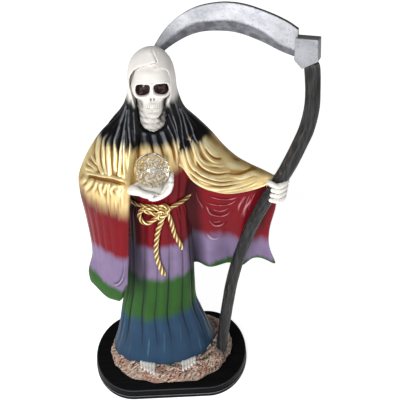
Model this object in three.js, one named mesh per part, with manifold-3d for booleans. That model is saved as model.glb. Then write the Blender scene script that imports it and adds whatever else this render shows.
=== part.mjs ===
import * as THREE from "three";
import { mergeVertices } from "three/addons/utils/BufferGeometryUtils.js";
import Module from "manifold-3d";

const wasm = await Module();
wasm.setup();

// Millimetres, +Z up, the viewer on the -Y side, origin at the centre of the plinth's underside.
const TAU = Math.PI * 2;
const DEG = Math.PI / 180;
const GAP = 0.3;

// Plinth: half the straight front, reach of a round end, half depth, thickness.
const PLINTH_FLAT = 38;
const PLINTH_END = 42.6;
const PLINTH_DEPTH = 62.2;
const PLINTH_TOP = 12;

// The statue stands a little in front of the plinth's middle. Its heights are measured from a level
// STATUE_FLOOR below the rock's underside.
const STATUE_Y = -3.5;
const STATUE_FLOOR = 12.3;

// Rock and robe.
const ROCK_HALF_WIDTH = 64;
const ROCK_HALF_DEPTH = 51;
const ROCK_TOP = 27.5;
const HEM = ROCK_TOP - 1.5;
const HEM_HALF_WIDTH = ROCK_HALF_WIDTH - 10;
const HEM_HALF_DEPTH = ROCK_HALF_DEPTH - 12.5;
const NECK_RADIUS = 12;

// Crystal ball, and the point of the palm below it where it rests.
const BALL_RADIUS = 16;
const PALM = [-3.4, -50, 258.5];
const BALL_CENTRE = [PALM[0], PALM[1], PALM[2] + BALL_RADIUS];

// Scythe: drawn in a plane of its own that is turned and leans back a little.
const SCYTHE_FOOT = [ROCK_HALF_WIDTH - 10.5, -15, ROCK_TOP];
const SCYTHE_TURN = -22 * DEG;
const SCYTHE_LEAN = -4.4 * DEG;
const POLE_LENGTH = 348;
const BLADE_THICKNESS = 3.6;
const SOCKET_THICKNESS = 11;
const POLE_FLATNESS = 0.7;

// Height on the pole where the left hand holds it, and the place where the arm is drawn to end.
const GRIP = 205;
const GRIP_DRAWN = [110.3, -21.2, 232];

const mix = (a, b, t) => a + (b - a) * t;
const clamp = (v, low, high) => Math.min(Math.max(v, low), high);

/** 0 below low, 1 above high, eased between. */
function ramp(v, low, high) {
  const t = clamp((v - low) / (high - low), 0, 1);
  return t * t * (3 - 2 * t);
}

/** A bell of height 1 round a middle. */
const bell = (v, middle, width) => Math.exp(-(((v - middle) / width) ** 2));

/** A cloth fold of one turn per TAU: a round ridge and a sharp valley, from -0.64 to 0.36. */
const pleat = (p) => Math.abs(Math.cos(p / 2)) - 0.64;

/** The columns of a table of stations, eased between its rows; the first column is the place. */
function along(table, at) {
  const last = table.length - 1;
  const place = clamp(at, table[0][0], table[last][0]);
  let i = 0;
  while (i < last - 1 && table[i + 1][0] < place) i++;
  const before = table[Math.max(i - 1, 0)];
  const low = table[i];
  const high = table[i + 1];
  const after = table[Math.min(i + 2, last)];
  const span = high[0] - low[0];
  const t = (place - low[0]) / span;
  return low.slice(1).map((value, k) => {
    const c = k + 1;
    const m1 = ((high[c] - before[c]) / (high[0] - before[0])) * span;
    const m2 = ((after[c] - value) / (after[0] - low[0])) * span;
    const t2 = t * t;
    const t3 = t2 * t;
    const near = (2 * t3 - 3 * t2 + 1) * value + (t3 - 2 * t2 + t) * m1;
    return near + (3 * t2 - 2 * t3) * high[c] + (t3 - t2) * m2;
  });
}

/** Evenly spaced values from one number to another, both included. */
const steps = (from, to, count) => Array.from({ length: count + 1 }, (_, i) => mix(from, to, i / count));

/** Evenly spaced angles round a full turn. */
const turns = (count) => steps(0, TAU, count).slice(0, count);

/** A closed skin over rings of equal length, its two ends closed by a fan. */
function skin(rings) {
  const n = rings[0].length;
  const points = rings.flat();
  const faces = [];
  for (let j = 0; j + 1 < rings.length; j++) {
    for (let i = 0; i < n; i++) {
      const a = j * n + i;
      const b = j * n + ((i + 1) % n);
      faces.push(a, b, b + n, a, b + n, a + n);
    }
  }
  const middle = (ring) => [0, 1, 2].map((k) => ring.reduce((sum, p) => sum + p[k], 0) / n);
  const top = (rings.length - 1) * n;
  const low = points.push(middle(rings[0])) - 1;
  const high = points.push(middle(rings[rings.length - 1])) - 1;
  for (let i = 0; i < n; i++) {
    const next = (i + 1) % n;
    faces.push(low, next, i, high, top + i, top + next);
  }
  const geometry = new THREE.BufferGeometry();
  geometry.setAttribute("position", new THREE.Float32BufferAttribute(points.flat(), 3));
  geometry.setIndex(faces);
  return geometry;
}

/** A geometry as a solid that can be joined and cut, facing outwards. */
function solid(geometry) {
  const bare = new THREE.BufferGeometry();
  bare.setAttribute("position", geometry.getAttribute("position"));
  bare.setIndex(geometry.getIndex());
  const merged = mergeVertices(bare, 1e-4);
  const faces = Uint32Array.from(merged.index.array);
  const make = () =>
    new wasm.Manifold(
      new wasm.Mesh({
        numProp: 3,
        vertProperties: Float32Array.from(merged.attributes.position.array),
        triVerts: faces,
      }),
    );
  const made = make();
  if (made.volume() > 0) return made;
  for (let i = 0; i < faces.length; i += 3) [faces[i + 1], faces[i + 2]] = [faces[i + 2], faces[i + 1]];
  return make();
}

/** Solids joined into one. */
const join = (...solids) => solids.flat().reduce((all, next) => all.add(next));

/** A named mesh of a solid. */
function meshOf(name, made, material) {
  const { vertProperties, triVerts, numProp } = made.getMesh();
  const points = [];
  for (let i = 0; i < vertProperties.length; i += numProp) points.push(...vertProperties.slice(i, i + 3));
  const geometry = new THREE.BufferGeometry();
  geometry.setAttribute("position", new THREE.Float32BufferAttribute(points, 3));
  geometry.setIndex([...triVerts]);
  geometry.computeVertexNormals();
  const mesh = new THREE.Mesh(geometry, material);
  mesh.name = name;
  return mesh;
}

/** A rounded bar along a path of [x, y, z, radius] stations, with blunt round ends. */
function limb(stations, sides, count, flatten = 1) {
  const curve = new THREE.CatmullRomCurve3(
    stations.map(([x, y, z]) => new THREE.Vector3(x, y, z)),
    false,
    "centripetal",
  );
  const radii = stations.map(([, , , r], i) => [i / (stations.length - 1), r]);
  const up = new THREE.Vector3(0, 0, 1);
  const rings = steps(0, 1, count).map((t, j) => {
    const eased = j === 0 ? 0.004 : j === count ? 0.996 : t;
    const centre = curve.getPoint(eased);
    const ahead = curve.getTangent(eased);
    const side = new THREE.Vector3().crossVectors(ahead, up);
    if (side.lengthSq() < 0.02) side.set(1, 0, 0).addScaledVector(ahead, -ahead.x);
    side.normalize();
    const across = new THREE.Vector3().crossVectors(side, ahead).normalize();
    const r = along(radii, eased)[0] * (j === 0 || j === count ? 0.55 : 1);
    return turns(sides).map((p) =>
      centre
        .clone()
        .addScaledVector(side, r * Math.cos(p))
        .addScaledVector(across, r * flatten * Math.sin(p))
        .toArray(),
    );
  });
  return solid(skin(rings));
}

/** A ball stretched to three half axes. */
function egg(centre, radii, across, down) {
  const geometry = new THREE.SphereGeometry(1, across, down);
  geometry.rotateX(Math.PI / 2);
  geometry.scale(...radii);
  geometry.translate(...centre);
  return solid(geometry);
}

// Robe from the hem to the crown of the hood: height, centre x and y, half width, half depth.
const ROBE = [
  [HEM, -6, 2, HEM_HALF_WIDTH, HEM_HALF_DEPTH],
  [HEM + 6, -6, 2, HEM_HALF_WIDTH - 1, HEM_HALF_DEPTH - 1],
  [45, -6, 1.5, 48.5, 35.5],
  [62, -6.3, 1, 43.8, 33],
  [86, -7.4, 0.5, 37.6, 30.5],
  [110, -5, 0, 34.5, 29],
  [150, -2.5, 0, 32.5, 28],
  [205, -0.5, -1, 31.5, 27.5],
  [219, 0, -1.5, 29.5, 26.5],
  [232, 0, -1.5, 33, 28],
  [255, 0, -1.5, 37, 29],
  [275, -1.5, -1, 43, 29],
  [288, -2.5, 0, 45, 28.5],
  [298, -2, 0, 39, 27],
  [308, -1.5, -1, 31, 26],
  [318, -0.5, -2, 26, 25.2],
  [332, 0, -2, 22.6, 25.6],
  [346, 0, -2, 21.8, 26.2],
  [357, 0, -2, 19.4, 24],
  [365, 0.3, -2, 14.2, 17.6],
  [370.8, 1, -2, 6, 7],
  [372, 1, -2, 1.4, 1.6],
];

// Valleys between the long folds: angle round the robe in degrees, and the count of folds up to there.
const FOLDS = [
  [-180, -11], [-150, -9], [-120, -7.2], [-90, -5.4], [-57, -3], [-29, -2], [-6.5, -1], [13, 0], [39, 1],
  [62, 2], [90, 3.6], [120, 5.2], [150, 6.8], [180, 8],
];

/** How deep the long folds of the robe are at a height. */
const foldDepth = (z) =>
  2.6 * (1 - ramp(z, 60, 200)) + 1.5 * ramp(z, 60, 200) * (1 - ramp(z, 300, 330)) - 0.7 * bell(z, 219, 8);

/** A point of the robe's surface; the angle runs from the front to the viewer's right. */
function robePoint(angle, z) {
  const [cx, cy, a, b] = along(ROBE, z);
  const round = Math.atan2(Math.sin(angle), Math.cos(angle)) / DEG;
  const count = along(FOLDS, round)[0] + 0.1 * Math.sin(2 * angle + z / 45);
  const fold = foldDepth(z) * pleat(TAU * count + Math.PI);
  const sway = foldDepth(z) * 0.35 * Math.sin(5 * angle + z / 38);
  const out = fold + sway;
  const s = Math.sin(angle);
  const c = Math.cos(angle);
  return [cx + (a + out) * s, cy - (b + out) * c, z];
}

function robe() {
  const heights = [
    HEM - 2, HEM + 5, 44, 64, 88, 120, 165, 205, 219, 236, 256, 276, 289, 300, 312, 325, 345, 356, 364, 370,
    372,
  ];
  const angles = turns(57);
  return solid(skin(heights.map((z) => angles.map((a) => robePoint(a, z)))));
}

// Opening of the hood: height, half width, how far back the hollow reaches at its middle.
const HOLLOW = [
  [301, 8, -20],
  [305, NECK_RADIUS + 0.4, -16],
  [314, NECK_RADIUS + 1.2, -12],
  [323, 15, -9],
  [332, 18, -8],
  [344, 19.3, -9],
  [353, 17.8, -12],
  [360, 13, -15],
  [363.5, 5, -19],
];

/** A closed ring that is fuller than an ellipse at its corners. */
function fullRing(cx, half, front, back, z, count) {
  return turns(count).map((a) => {
    const s = Math.sin(a);
    const c = Math.cos(a);
    const full = (v) => Math.sign(v) * Math.abs(v) ** 0.78;
    return [cx + half * full(s), mix(back, front, (1 + full(c)) / 2), z];
  });
}

function hollow() {
  return solid(skin(HOLLOW.map(([z, half, back]) => fullRing(-0.6, half, -60, back, z, 14))));
}

// Skull: height, half width, front.
const SKULL = [
  [315, 4.5, -24.5],
  [316.5, 7.4, -26.4],
  [321, 9.4, -27.6],
  [326, 10.8, -28],
  [331, 13, -27.6],
  [335, 17.4, -26.4],
  [339.5, 18.6, -26],
  [346, 18.2, -26.2],
  [352, 17.6, -25.4],
  [358, 15, -22.4],
  [363, 10, -16.5],
];

function skull() {
  const middle = (z) => mix(0.8, -0.6, ramp(z, 318, 334));
  const rings = SKULL.map(([z, half, front]) => fullRing(middle(z), half, front, 4, z, 16));
  const sockets = [-1, 1].map((side) => egg([0.6 + side * 8.9, -26.8, 343.9], [6.5, 5.5, 5.2], 12, 6));
  const nose = egg([0.6, -27, 334], [2.2, 3, 3.2], 6, 4);
  return solid(skin(rings)).subtract(join(sockets, nose));
}

function neck() {
  const rings = [
    [296, 0.94], [301, 1], [305, 0.93], [309, 1], [313, 0.92], [318, 0.96], [330, 0.8],
  ].map(([z, r]) =>
    turns(16).map((a) => [NECK_RADIUS * r * Math.sin(a), -12 - NECK_RADIUS * r * Math.cos(a), z]),
  );
  return solid(skin(rings));
}

// Right sleeve, up from the hem: share of its height, outer x and y, inner x and y, thickness.
const RIGHT_SLEEVE = [
  [0, -74.5, -20, -36, -42, 10],
  [0.08, -75, -18, -35, -43, 13],
  [0.2, -69, -15, -33, -44, 17],
  [0.42, -71, -12, -30, -44, 20],
  [0.58, -74, -8, -28, -45, 24],
  [0.67, -73, -6, -26, -47, 27],
  [0.75, -68.5, -3, -24, -43, 27],
  [0.84, -59.5, 0, -20, -34, 26],
  [0.92, -48, 3, -15, -27, 24],
  [1, -33, 4, -10, -20, 20],
];

/** Height of the sleeve's hem at a share of its width, from the outer edge to the inner one. */
const rightHem = (s) => 116 + 12 * (1 - ramp(s, 0, 0.55)) + 22 * ramp(s, 0.78, 1);

/** A point of the right sleeve; the turn starts at the inner edge and comes round the front. */
function rightSleevePoint(turn, share) {
  const [ox, oy, ix, iy, thick] = along(RIGHT_SLEEVE, share);
  const length = Math.hypot(ix - ox, iy - oy);
  const ex = (ix - ox) / length;
  const ey = (iy - oy) / length;
  const c = Math.cos(turn);
  const s = (1 + c) / 2;
  const z = mix(rightHem(s), 304, share);
  const face = Math.sin(turn);
  const front = ramp(face, 0, 0.6);
  const ridge = 3 * bell(z, mix(249, 260, s), 5.5) * front;
  const fall = front * ramp(z, 256, 266) * 1.6 + front * (1 - ramp(z, 236, 250)) * ramp(z, 150, 235);
  const out = (thick / 2) * face + ridge + fall * 1.2 * pleat(TAU * (6.2 * s + 0.1 * Math.sin(z / 20)));
  const reachOut = (length * c) / 2;
  return [(ox + ix) / 2 + ex * reachOut + ey * out, (oy + iy) / 2 + ey * reachOut - ex * out, z];
}

function rightSleeve() {
  const shares = [0, 0.03, 0.1, 0.22, 0.38, 0.52, 0.62, 0.68, 0.73, 0.78, 0.85, 0.92, 1];
  return solid(skin(shares.map((v) => turns(24).map((t) => rightSleevePoint(t, v)))));
}

/** A geometry drawn in the scythe's plane, stood up, leant back and turned at its foot. */
function scythePlace(geometry) {
  geometry.rotateX(Math.PI / 2);
  geometry.rotateX(SCYTHE_LEAN);
  geometry.rotateZ(SCYTHE_TURN);
  geometry.translate(...SCYTHE_FOOT);
  return geometry;
}

// Half width of the pole's end inside the socket.
const TENON = (SOCKET_THICKNESS / 2 - 1.7) / POLE_FLATNESS;

/** A height on the pole at a share of its length above the grip. */
const upPole = (share) => mix(GRIP, POLE_LENGTH, share);

// Middle of the pole in the scythe's plane, up from its foot: height, offset, radius.
const POLE = [
  [-4, -0.6, 5.3],
  [0, 0, 5.4],
  [50, 6.3, 5.9],
  [100, 14.6, 6],
  [150, 29.5, 6.2],
  [182, 43, 6.4],
  [upPole(0.11), 63.3, 7],
  [upPole(0.29), 74.4, 7.2],
  [upPole(0.455), 83, 7.2],
  [upPole(0.595), 86.7, 7.1],
  [upPole(0.71), 87.2, 7.1],
  [POLE_LENGTH - 22, 86, 7.3],
  [POLE_LENGTH - 16, 85.3, 7],
  [POLE_LENGTH - 13, 84.6, TENON + 0.4],
  [POLE_LENGTH + 2, 82, TENON],
];

/** The middle of the pole at a height on it, in the statue's frame. */
function polePlace(v) {
  const at = new THREE.BufferGeometry();
  at.setAttribute("position", new THREE.Float32BufferAttribute([along(POLE, v)[0], v, 0], 3));
  return [...scythePlace(at).getAttribute("position").array];
}

const GRIP_PLACE = polePlace(GRIP);

/** A point of the left arm, carried along with the hand on the pole. */
function reach([x, y, z]) {
  const share = ramp(x, 26, 100);
  return [x, y, z].map((value, k) => value + share * (GRIP_PLACE[k] - GRIP_DRAWN[k]));
}

// Gold swag of the left sleeve, out from the neck: x, top y and z, hem y and z, front and back bulge.
const SWAG = [
  [12, -6, 318, -16, 268, 10, 12],
  [24, -2, 314, -20, 258, 12, 20],
  [32, 0, 305, -21, 245, 13, 22],
  [42, 0, 294.5, -22, 236.5, 12.5, 20],
  [53, -1, 282, -22, 231.5, 11, 17],
  [63, -3, 269, -21.5, 228.5, 9.5, 14],
  [75, -6, 257.5, -20, 228, 8.5, 11],
  [87, -9, 250.5, -18, 229, 7.5, 9],
  [98, -12, 245.5, -17, 232, 6.5, 7.5],
  [106, -15, 242.5, -17, 236, 4, 4.5],
];

/** A point of the swag; the turn starts at the top and comes round the front. */
function swagPoint(x, turn) {
  const [topY, topZ, hemY, hemZ, front, back] = along(SWAG, x);
  const s = (1 - Math.cos(turn)) / 2;
  const side = Math.sin(turn);
  const bulge = side > 0 ? front * side ** 0.8 : back * side;
  const folds = ramp(side, 0.05, 0.5) * bell(x, 70, 34) * 2.1 * pleat(TAU * (4.6 * s ** 0.9 + x / 90));
  const z = mix(topZ, hemZ, s);
  return [x, mix(topY, hemY, s) - bulge - folds, z - folds * 0.3];
}

function swag() {
  const places = [12, 24, 34, 45, 56, 67, 78, 89, 99, 106];
  return solid(skin(places.map((x) => turns(22).map((t) => reach(swagPoint(x, t))))));
}

/** Front surface of the sleeve's inner cloth at a place and height. */
function curtainFront(x, z) {
  const fall = 1 - ramp(z, 128, 215);
  const slant = 0.06 * (x - 60) * ramp(z, 140, 205) * (1 - ramp(z, 210, 234));
  const hang = mix(-14.5, -3, 1 - ramp(z, 128, 226)) + slant;
  return hang - 4.4 * fall * Math.sin(((x - 39) / 32.5) * TAU) - 1.2 * fall * Math.sin(x / 2.9);
}

/** Right edge of the sleeve's inner cloth at a height. */
const curtainEdge = (z) => 105 + 7 * bell(z, 127, 15) + 7.5 * bell(z, 206, 26);

function curtain() {
  const rings = steps(0, 1, 6).map((v) => {
    const cols = steps(0, 1, 17);
    const at = (t, back) => {
      const low = 127.5 + 1.5 * Math.sin(t * 9) + 4.5 * ramp(t, 0.5, 0.75);
      const z = mix(low, 238, v);
      const x = mix(22, curtainEdge(z), t);
      const thick = (8 + 1.5 * Math.sin(v * 3) - 3 * ramp(v, 0.7, 1)) * (1 - 0.5 * ramp(t, 0.9, 1));
      return reach([x, curtainFront(x, z) + (back ? thick : 0), z]);
    };
    return [...cols.map((t) => at(t, false)), ...cols.reverse().map((t) => at(t, true))];
  });
  return solid(skin(rings));
}

/** Right hand: a palm under the ball, four fingers up its far side and a thumb in front. */
function rightHand() {
  const [x, y, z] = PALM;
  const r = BALL_RADIUS;
  const palm = egg([x - 1, y + 1, z - 3.5], [r + 0.5, r - 4, 8.5], 12, 6);
  const wrist = limb(
    [
      [-36, -40, 256, 7],
      [-25, -47, 255.5, 6.5],
      [x - 10.6, y, z - 3.5, 7],
      [x, y - 1, z - 3, 6],
    ],
    10,
    6,
    0.75,
  );
  const fingers = steps(0, 1, 3).map((t) => {
    const across = y + mix(-11, 7, t);
    return limb(
      [
        [x + 2, across, z - 4, 3],
        [x + r * 0.7, across - 1, z - 0.5, 2.8],
        [x + r + 0.6, across - 1, z + r * 0.45, 2.5],
        [x + r + 2, across, z + r * mix(0.81, 1.06, Math.sin((t * TAU) / 2)), 2],
      ],
      5,
      4,
    );
  });
  const thumb = limb(
    [
      [x - r - 1.6, y - 2, z + 0.5, 3.4],
      [x - r * 0.8, y - 10, z + 0.5, 3],
      [x - r * 0.35, y - r, z, 2.6],
      [x + 0.4, y - r - 2.5, z + 1, 2],
    ],
    5,
    4,
  );
  return join(palm, wrist, fingers, thumb);
}

/** Left hand: a fist round the pole, its finger tips to the viewer's left. */
function leftHand() {
  const [x, y, z] = GRIP_PLACE;
  const palm = egg([x - 2.3, y + 6.2, z], [9.5, 7, 13], 10, 6);
  const wrist = limb(
    [
      [...reach([94, -14, 240]), 6],
      [x - 7.3, y + 5.7, z + 6, 6],
      [x - 0.3, y + 4.2, z + 1, 6.5],
    ],
    10,
    4,
  );
  const fingers = steps(0, 1, 3).map((t) => {
    const fx = x + mix(3.2, -1.8, t);
    const fz = z + mix(7.5, -9, t);
    return limb(
      [
        [fx, y + 9.2, fz + 1, 2.7],
        [fx + 7.8, y + 4.7, fz + 0.6, 3],
        [fx + 7.4, y - 5.3, fz, 2.9],
        [fx - 1.5, y - 9.3, fz - 0.8, 2.6],
        [fx - 7.5, y - 6.8, fz - 1.2, 2.2],
      ],
      5,
      5,
    );
  });
  const thumb = limb(
    [
      [x - 9.3, y + 6.2, z + 9, 3.6],
      [x - 7.8, y - 1.8, z + 12, 3.2],
      [x - 3.3, y - 7.8, z + 13.5, 2.7],
      [x + 1.7, y - 9.3, z + 12.5, 2.1],
    ],
    5,
    4,
  );
  return join(palm, wrist, fingers, thumb);
}

/** A foot of five bony toes under the hem; the inner toe is the longest. */
function foot(x, turn, inner) {
  const y = 2 - HEM_HALF_DEPTH + 3.5;
  return steps(0, 1, 4).map((t, i) => {
    const spread = (turn + inner * mix(-7, 12, t)) * DEG;
    const length = mix(15, 10.5, t);
    const size = i === 0 ? 2.3 : mix(1.8, 1.35, t);
    const px = x - inner * mix(-6, 6.2, t);
    const point = (d, z) => [px + d * Math.sin(spread), y - d * Math.cos(spread), z];
    return limb(
      [
        [...point(-7, ROCK_TOP - 0.5), size],
        [...point(length * 0.3, ROCK_TOP - 1.5), size],
        [...point(length * 0.7, ROCK_TOP - 3.9), size * 0.9],
        [...point(length, ROCK_TOP - 7.1), size * 0.8],
      ],
      5,
      2,
    );
  });
}

/** A cord along a path of [x, y, z] points. */
const cord = (points, radius, count) => limb(points.map((p) => [...p, radius]), 6, count);

/** A point just outside the robe at an angle in degrees and a height. */
function onRobe(degrees, z, out) {
  const [cx, cy, a, b] = along(ROBE, z);
  const angle = degrees * DEG;
  return [cx + (a + out) * Math.sin(angle), cy - (b + out) * Math.cos(angle), z];
}

function rope() {
  const belt = cord(
    steps(-64, 74, 12).map((d) => onRobe(d, 219.5 + 10 * ramp(d, 15, 74) + 5 * ramp(-d, 20, 64), 1.6)),
    2.1,
    14,
  );
  const loop = cord(
    [
      onRobe(8, 218, 3), onRobe(-12, 219.5, 4), onRobe(-34, 214.5, 4), onRobe(-37, 208, 4.4),
      onRobe(-25, 202.5, 4.6), onRobe(-10, 206.5, 4.6), onRobe(6, 215, 4),
    ],
    2.2,
    13,
  );
  const knot = egg(onRobe(6, 216.5, 3), [6.5, 4.5, 6], 8, 5);
  const longTail = cord(
    [
      onRobe(8, 214, 3), onRobe(1, 203, 3), onRobe(-7, 188, 2.6), onRobe(-10, 172, 2.4),
      onRobe(-8, 156, 2.2), onRobe(-1, 141, 2),
    ],
    2.6,
    7,
  );
  const shortTail = cord(
    [onRobe(12, 215, 3), onRobe(18, 203, 3), onRobe(23, 191, 2.6), onRobe(30, 180, 2.4), onRobe(39, 168.5, 2)],
    2.5,
    5,
  );
  return join(belt, loop, knot, longTail, shortTail);
}

/** A point of the rock at an angle and height. */
function rockPoint(angle, z, inset) {
  const rough =
    1.5 * Math.sin(5 * angle + z * 0.4) + 0.9 * Math.sin(11 * angle - z * 0.7) + 0.6 * Math.sin(17 * angle + z);
  const right = bell(angle, 1.2, 0.5);
  const back = 6 * bell(angle, 2.3, 0.5);
  return [
    (ROCK_HALF_WIDTH - inset + rough * 0.5 + back) * Math.sin(angle),
    1 - (ROCK_HALF_DEPTH - inset + rough + back) * Math.cos(angle),
    z + ramp(z, ROCK_TOP - 9.5, ROCK_TOP - 1.5) * (4.5 * right + 0.5 * Math.sin(9 * angle + inset)),
  ];
}

function rock() {
  const levels = [
    [STATUE_FLOOR, 0], [STATUE_FLOOR + 2.7, -1], [ROCK_TOP - 7.5, 0], [ROCK_TOP - 3.5, 3.5], [ROCK_TOP - 1, 9],
    [ROCK_TOP, 24],
  ];
  return solid(
    skin(
      levels.map(([z, inset], j) =>
        turns(32).map((a) => {
          const [x, y, high] = rockPoint(a, z, inset);
          return [x, y, j === 0 ? z : high];
        }),
      ),
    ),
  );
}

/** The pole from its foot to a height on it; a wider one, set deeper, is the room it stands in. */
function pole(grow, top) {
  const foot = POLE[0][0] - (grow > 0 ? 1.5 : 0);
  const rings = steps(foot, top, 20).map((v) => {
    const [u, r] = along(POLE, v);
    const slope = Math.atan2(along(POLE, v + 1)[0] - along(POLE, v - 1)[0], 2);
    const flat = mix(0.95, POLE_FLATNESS, ramp(v, 150, 300));
    return turns(10).map((p) => {
      const w = (r + grow) * Math.cos(p);
      return [u + w * Math.cos(slope), v - w * Math.sin(slope), (r * flat + grow) * Math.sin(p)];
    });
  });
  return solid(scythePlace(skin(rings)));
}

// Blade in the scythe's plane: share of its length, then the back edge, grind line and cutting edge, each
// as a place across and a height over the pole's end.
const BLADE = [
  [0, -72, -36, -69, -35, -66, -34],
  [0.09, -65.2, -18.4, -60, -19.5, -55.4, -21.4],
  [0.2, -49.2, 5.5, -44, -3, -38.8, -8.1],
  [0.33, -27, 23, -26, 9.6, -22, 1],
  [0.47, -2, 31.6, -6, 15, -4, 5.2],
  [0.6, 20, 32.8, 15, 17, 16, 5.8],
  [0.75, 43.5, 28, 38, 11.4, 38, 0.6],
  [0.9, 61.5, 21.8, 57, 0.5, 57, -6.5],
  [1, 72, 16, 72, -4, 72, -10.6],
];

function blade() {
  const half = BLADE_THICKNESS / 2;
  const rings = steps(0, 1, 20).map((t) => {
    const [bx, by, gx, gy, cx, cy] = along(BLADE, t);
    return [
      [bx, by, -half],
      [bx, by, half],
      [gx, gy, half],
      [cx, cy, 0.5],
      [cx, cy, -0.5],
      [gx, gy, -half],
    ].map(([x, y, z]) => [x, POLE_LENGTH + y, z]);
  });
  return solid(scythePlace(skin(rings)));
}

/** Socket between blade and pole: a block with a slanting lower side. */
function socket() {
  const outline = new THREE.Shape();
  outline.moveTo(70.6, POLE_LENGTH + 9);
  outline.lineTo(70.2, POLE_LENGTH - 11.4);
  outline.lineTo(77.6, POLE_LENGTH - 19);
  outline.lineTo(92, POLE_LENGTH - 10.2);
  outline.lineTo(91.4, POLE_LENGTH + 9.8);
  outline.closePath();
  const geometry = new THREE.ExtrudeGeometry(outline, {
    depth: SOCKET_THICKNESS - 2,
    bevelThickness: 1,
    bevelSize: 0.8,
    bevelOffset: -0.8,
    bevelSegments: 1,
  });
  geometry.translate(0, 0, 1 - SOCKET_THICKNESS / 2);
  return solid(scythePlace(geometry));
}

/** Outline of the plinth at a height, grown or shrunk all round: two half ellipses and two straights. */
function plinthRing(grow, z) {
  const right = steps(-90, 90, 18).map((q) => [
    PLINTH_FLAT + (PLINTH_END + grow) * Math.cos(q * DEG),
    (PLINTH_DEPTH + grow) * Math.sin(q * DEG),
    z,
  ]);
  return [...right, ...right.map(([x, y]) => [-x, -y, z])];
}

function plinth() {
  const profile = [
    [-0.4, 0], [0.5, 1.6], [0.5, 4.4], [-0.5, 5.2], [0, 6.2], [0, PLINTH_TOP - 2], [-1.6, PLINTH_TOP],
  ];
  return solid(skin(profile.map(([grow, z]) => plinthRing(grow, z))));
}

const paint = (color, roughness, metalness = 0) =>
  new THREE.MeshStandardMaterial({ color, roughness, metalness });

const ball = egg(BALL_CENTRE, [BALL_RADIUS, BALL_RADIUS, BALL_RADIUS], 18, 10);
const ballRoom = egg(BALL_CENTRE, [BALL_RADIUS + GAP, BALL_RADIUS + GAP, BALL_RADIUS + GAP], 18, 10);
const wholePole = pole(0, POLE_LENGTH);
const poleRoom = pole(GAP + 0.1, POLE_LENGTH + 2);

const figure = join(
  robe().subtract(hollow()),
  skull(),
  neck(),
  rightSleeve(),
  swag(),
  curtain(),
  rightHand().subtract(ballRoom),
  leftHand(),
  rope(),
  foot(-24, -4, 1),
  foot(16.5, 14, -1),
  rock(),
)
  .subtract(poleRoom)
  .subtract(ballRoom);

const statue = new THREE.Group();
statue.position.set(0, STATUE_Y, PLINTH_TOP + GAP - STATUE_FLOOR);
statue.add(
  meshOf("figure", figure, paint(0x9c7a3c, 0.4)),
  meshOf("crystal_ball", ball, paint(0xd8d4cc, 0.05)),
  meshOf("scythe_handle", wholePole, paint(0x2f3236, 0.55)),
  meshOf("scythe_blade", join(blade(), socket()).subtract(poleRoom), paint(0xb4b6bd, 0.4, 0.5)),
);

const group = new THREE.Group();
group.name = "santa_muerte";
group.add(statue, meshOf("plinth", plinth(), paint(0x0d0d0e, 0.3)));

export default group;
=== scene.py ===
"""Looks of a painted santa muerte figure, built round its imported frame."""
import logging
import math
import random
from collections.abc import Callable, Iterable, Sequence
from dataclasses import dataclass
from enum import Enum

import bmesh
import bpy
import numpy as np
from mathutils import Matrix, Vector, noise


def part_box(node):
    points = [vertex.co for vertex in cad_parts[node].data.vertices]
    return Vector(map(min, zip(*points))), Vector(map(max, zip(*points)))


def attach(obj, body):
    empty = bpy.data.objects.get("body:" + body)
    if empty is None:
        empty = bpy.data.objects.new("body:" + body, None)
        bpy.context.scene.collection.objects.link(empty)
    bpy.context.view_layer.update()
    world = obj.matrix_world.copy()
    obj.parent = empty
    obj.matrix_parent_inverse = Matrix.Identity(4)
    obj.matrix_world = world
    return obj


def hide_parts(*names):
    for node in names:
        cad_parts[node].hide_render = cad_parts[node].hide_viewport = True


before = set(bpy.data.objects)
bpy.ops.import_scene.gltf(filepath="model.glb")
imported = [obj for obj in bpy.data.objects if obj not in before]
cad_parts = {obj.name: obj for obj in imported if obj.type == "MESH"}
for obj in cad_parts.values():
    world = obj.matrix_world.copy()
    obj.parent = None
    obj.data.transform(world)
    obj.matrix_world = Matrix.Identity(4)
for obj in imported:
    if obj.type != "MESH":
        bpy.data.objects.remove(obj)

log = logging.getLogger("figure")

MM = 0.001
TAU = math.tau
# Distance in millimetres below which two points are one, and share below which a place is at an end.
MERGE = 2e-4
AT_END = 1e-6
Body = bmesh.types.BMesh
Material = bpy.types.Material
Array = np.ndarray
Values = float | Array
Row = Sequence[float]
# x, y and z of bent points, and the values that paint reads at them.
Bent = tuple[Array, Array, Array, dict[str, Array]]
Bend = Callable[[Array, Array], Bent]


class Slot(Enum):
    """Material slots of the pieces."""

    RESIN = "painted_resin"
    GLASS = "clear_glass"
    POLE = "dark_resin"
    BLADE = "silver_resin"
    WOOD = "black_wood"


class Node(Enum):
    """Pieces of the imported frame."""

    FIGURE = "figure"
    BALL = "crystal_ball"
    HANDLE = "scythe_handle"
    BLADE = "scythe_blade"
    PLINTH = "plinth"


# Drawing helpers, in millimetres and on whole arrays.


def mix(a: Values, b: Values, t: Values) -> Values:
    """Value between a and b at a share t."""
    return a + (b - a) * t


def ramp(v: Values, low: float, high: float) -> Values:
    """0 below low and 1 above high, eased between."""
    t = np.clip((v - low) / (high - low), 0, 1)
    return t * t * (3 - 2 * t)


def bell(v: Values, middle: Values, width: float) -> Values:
    """A bell of height 1 round a middle."""
    return np.exp(-(((v - middle) / width) ** 2))


def pleat(turn: Array) -> Array:
    """A cloth fold of one turn: a round ridge and a sharp valley, from -0.64 to 0.36."""
    return np.abs(np.cos(turn / 2)) - 0.64


def fuller(v: Array, power: Values) -> Array:
    """A sine or cosine pushed outwards, for a section squarer than an ellipse."""
    return np.sign(v) * np.abs(v) ** power


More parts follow.
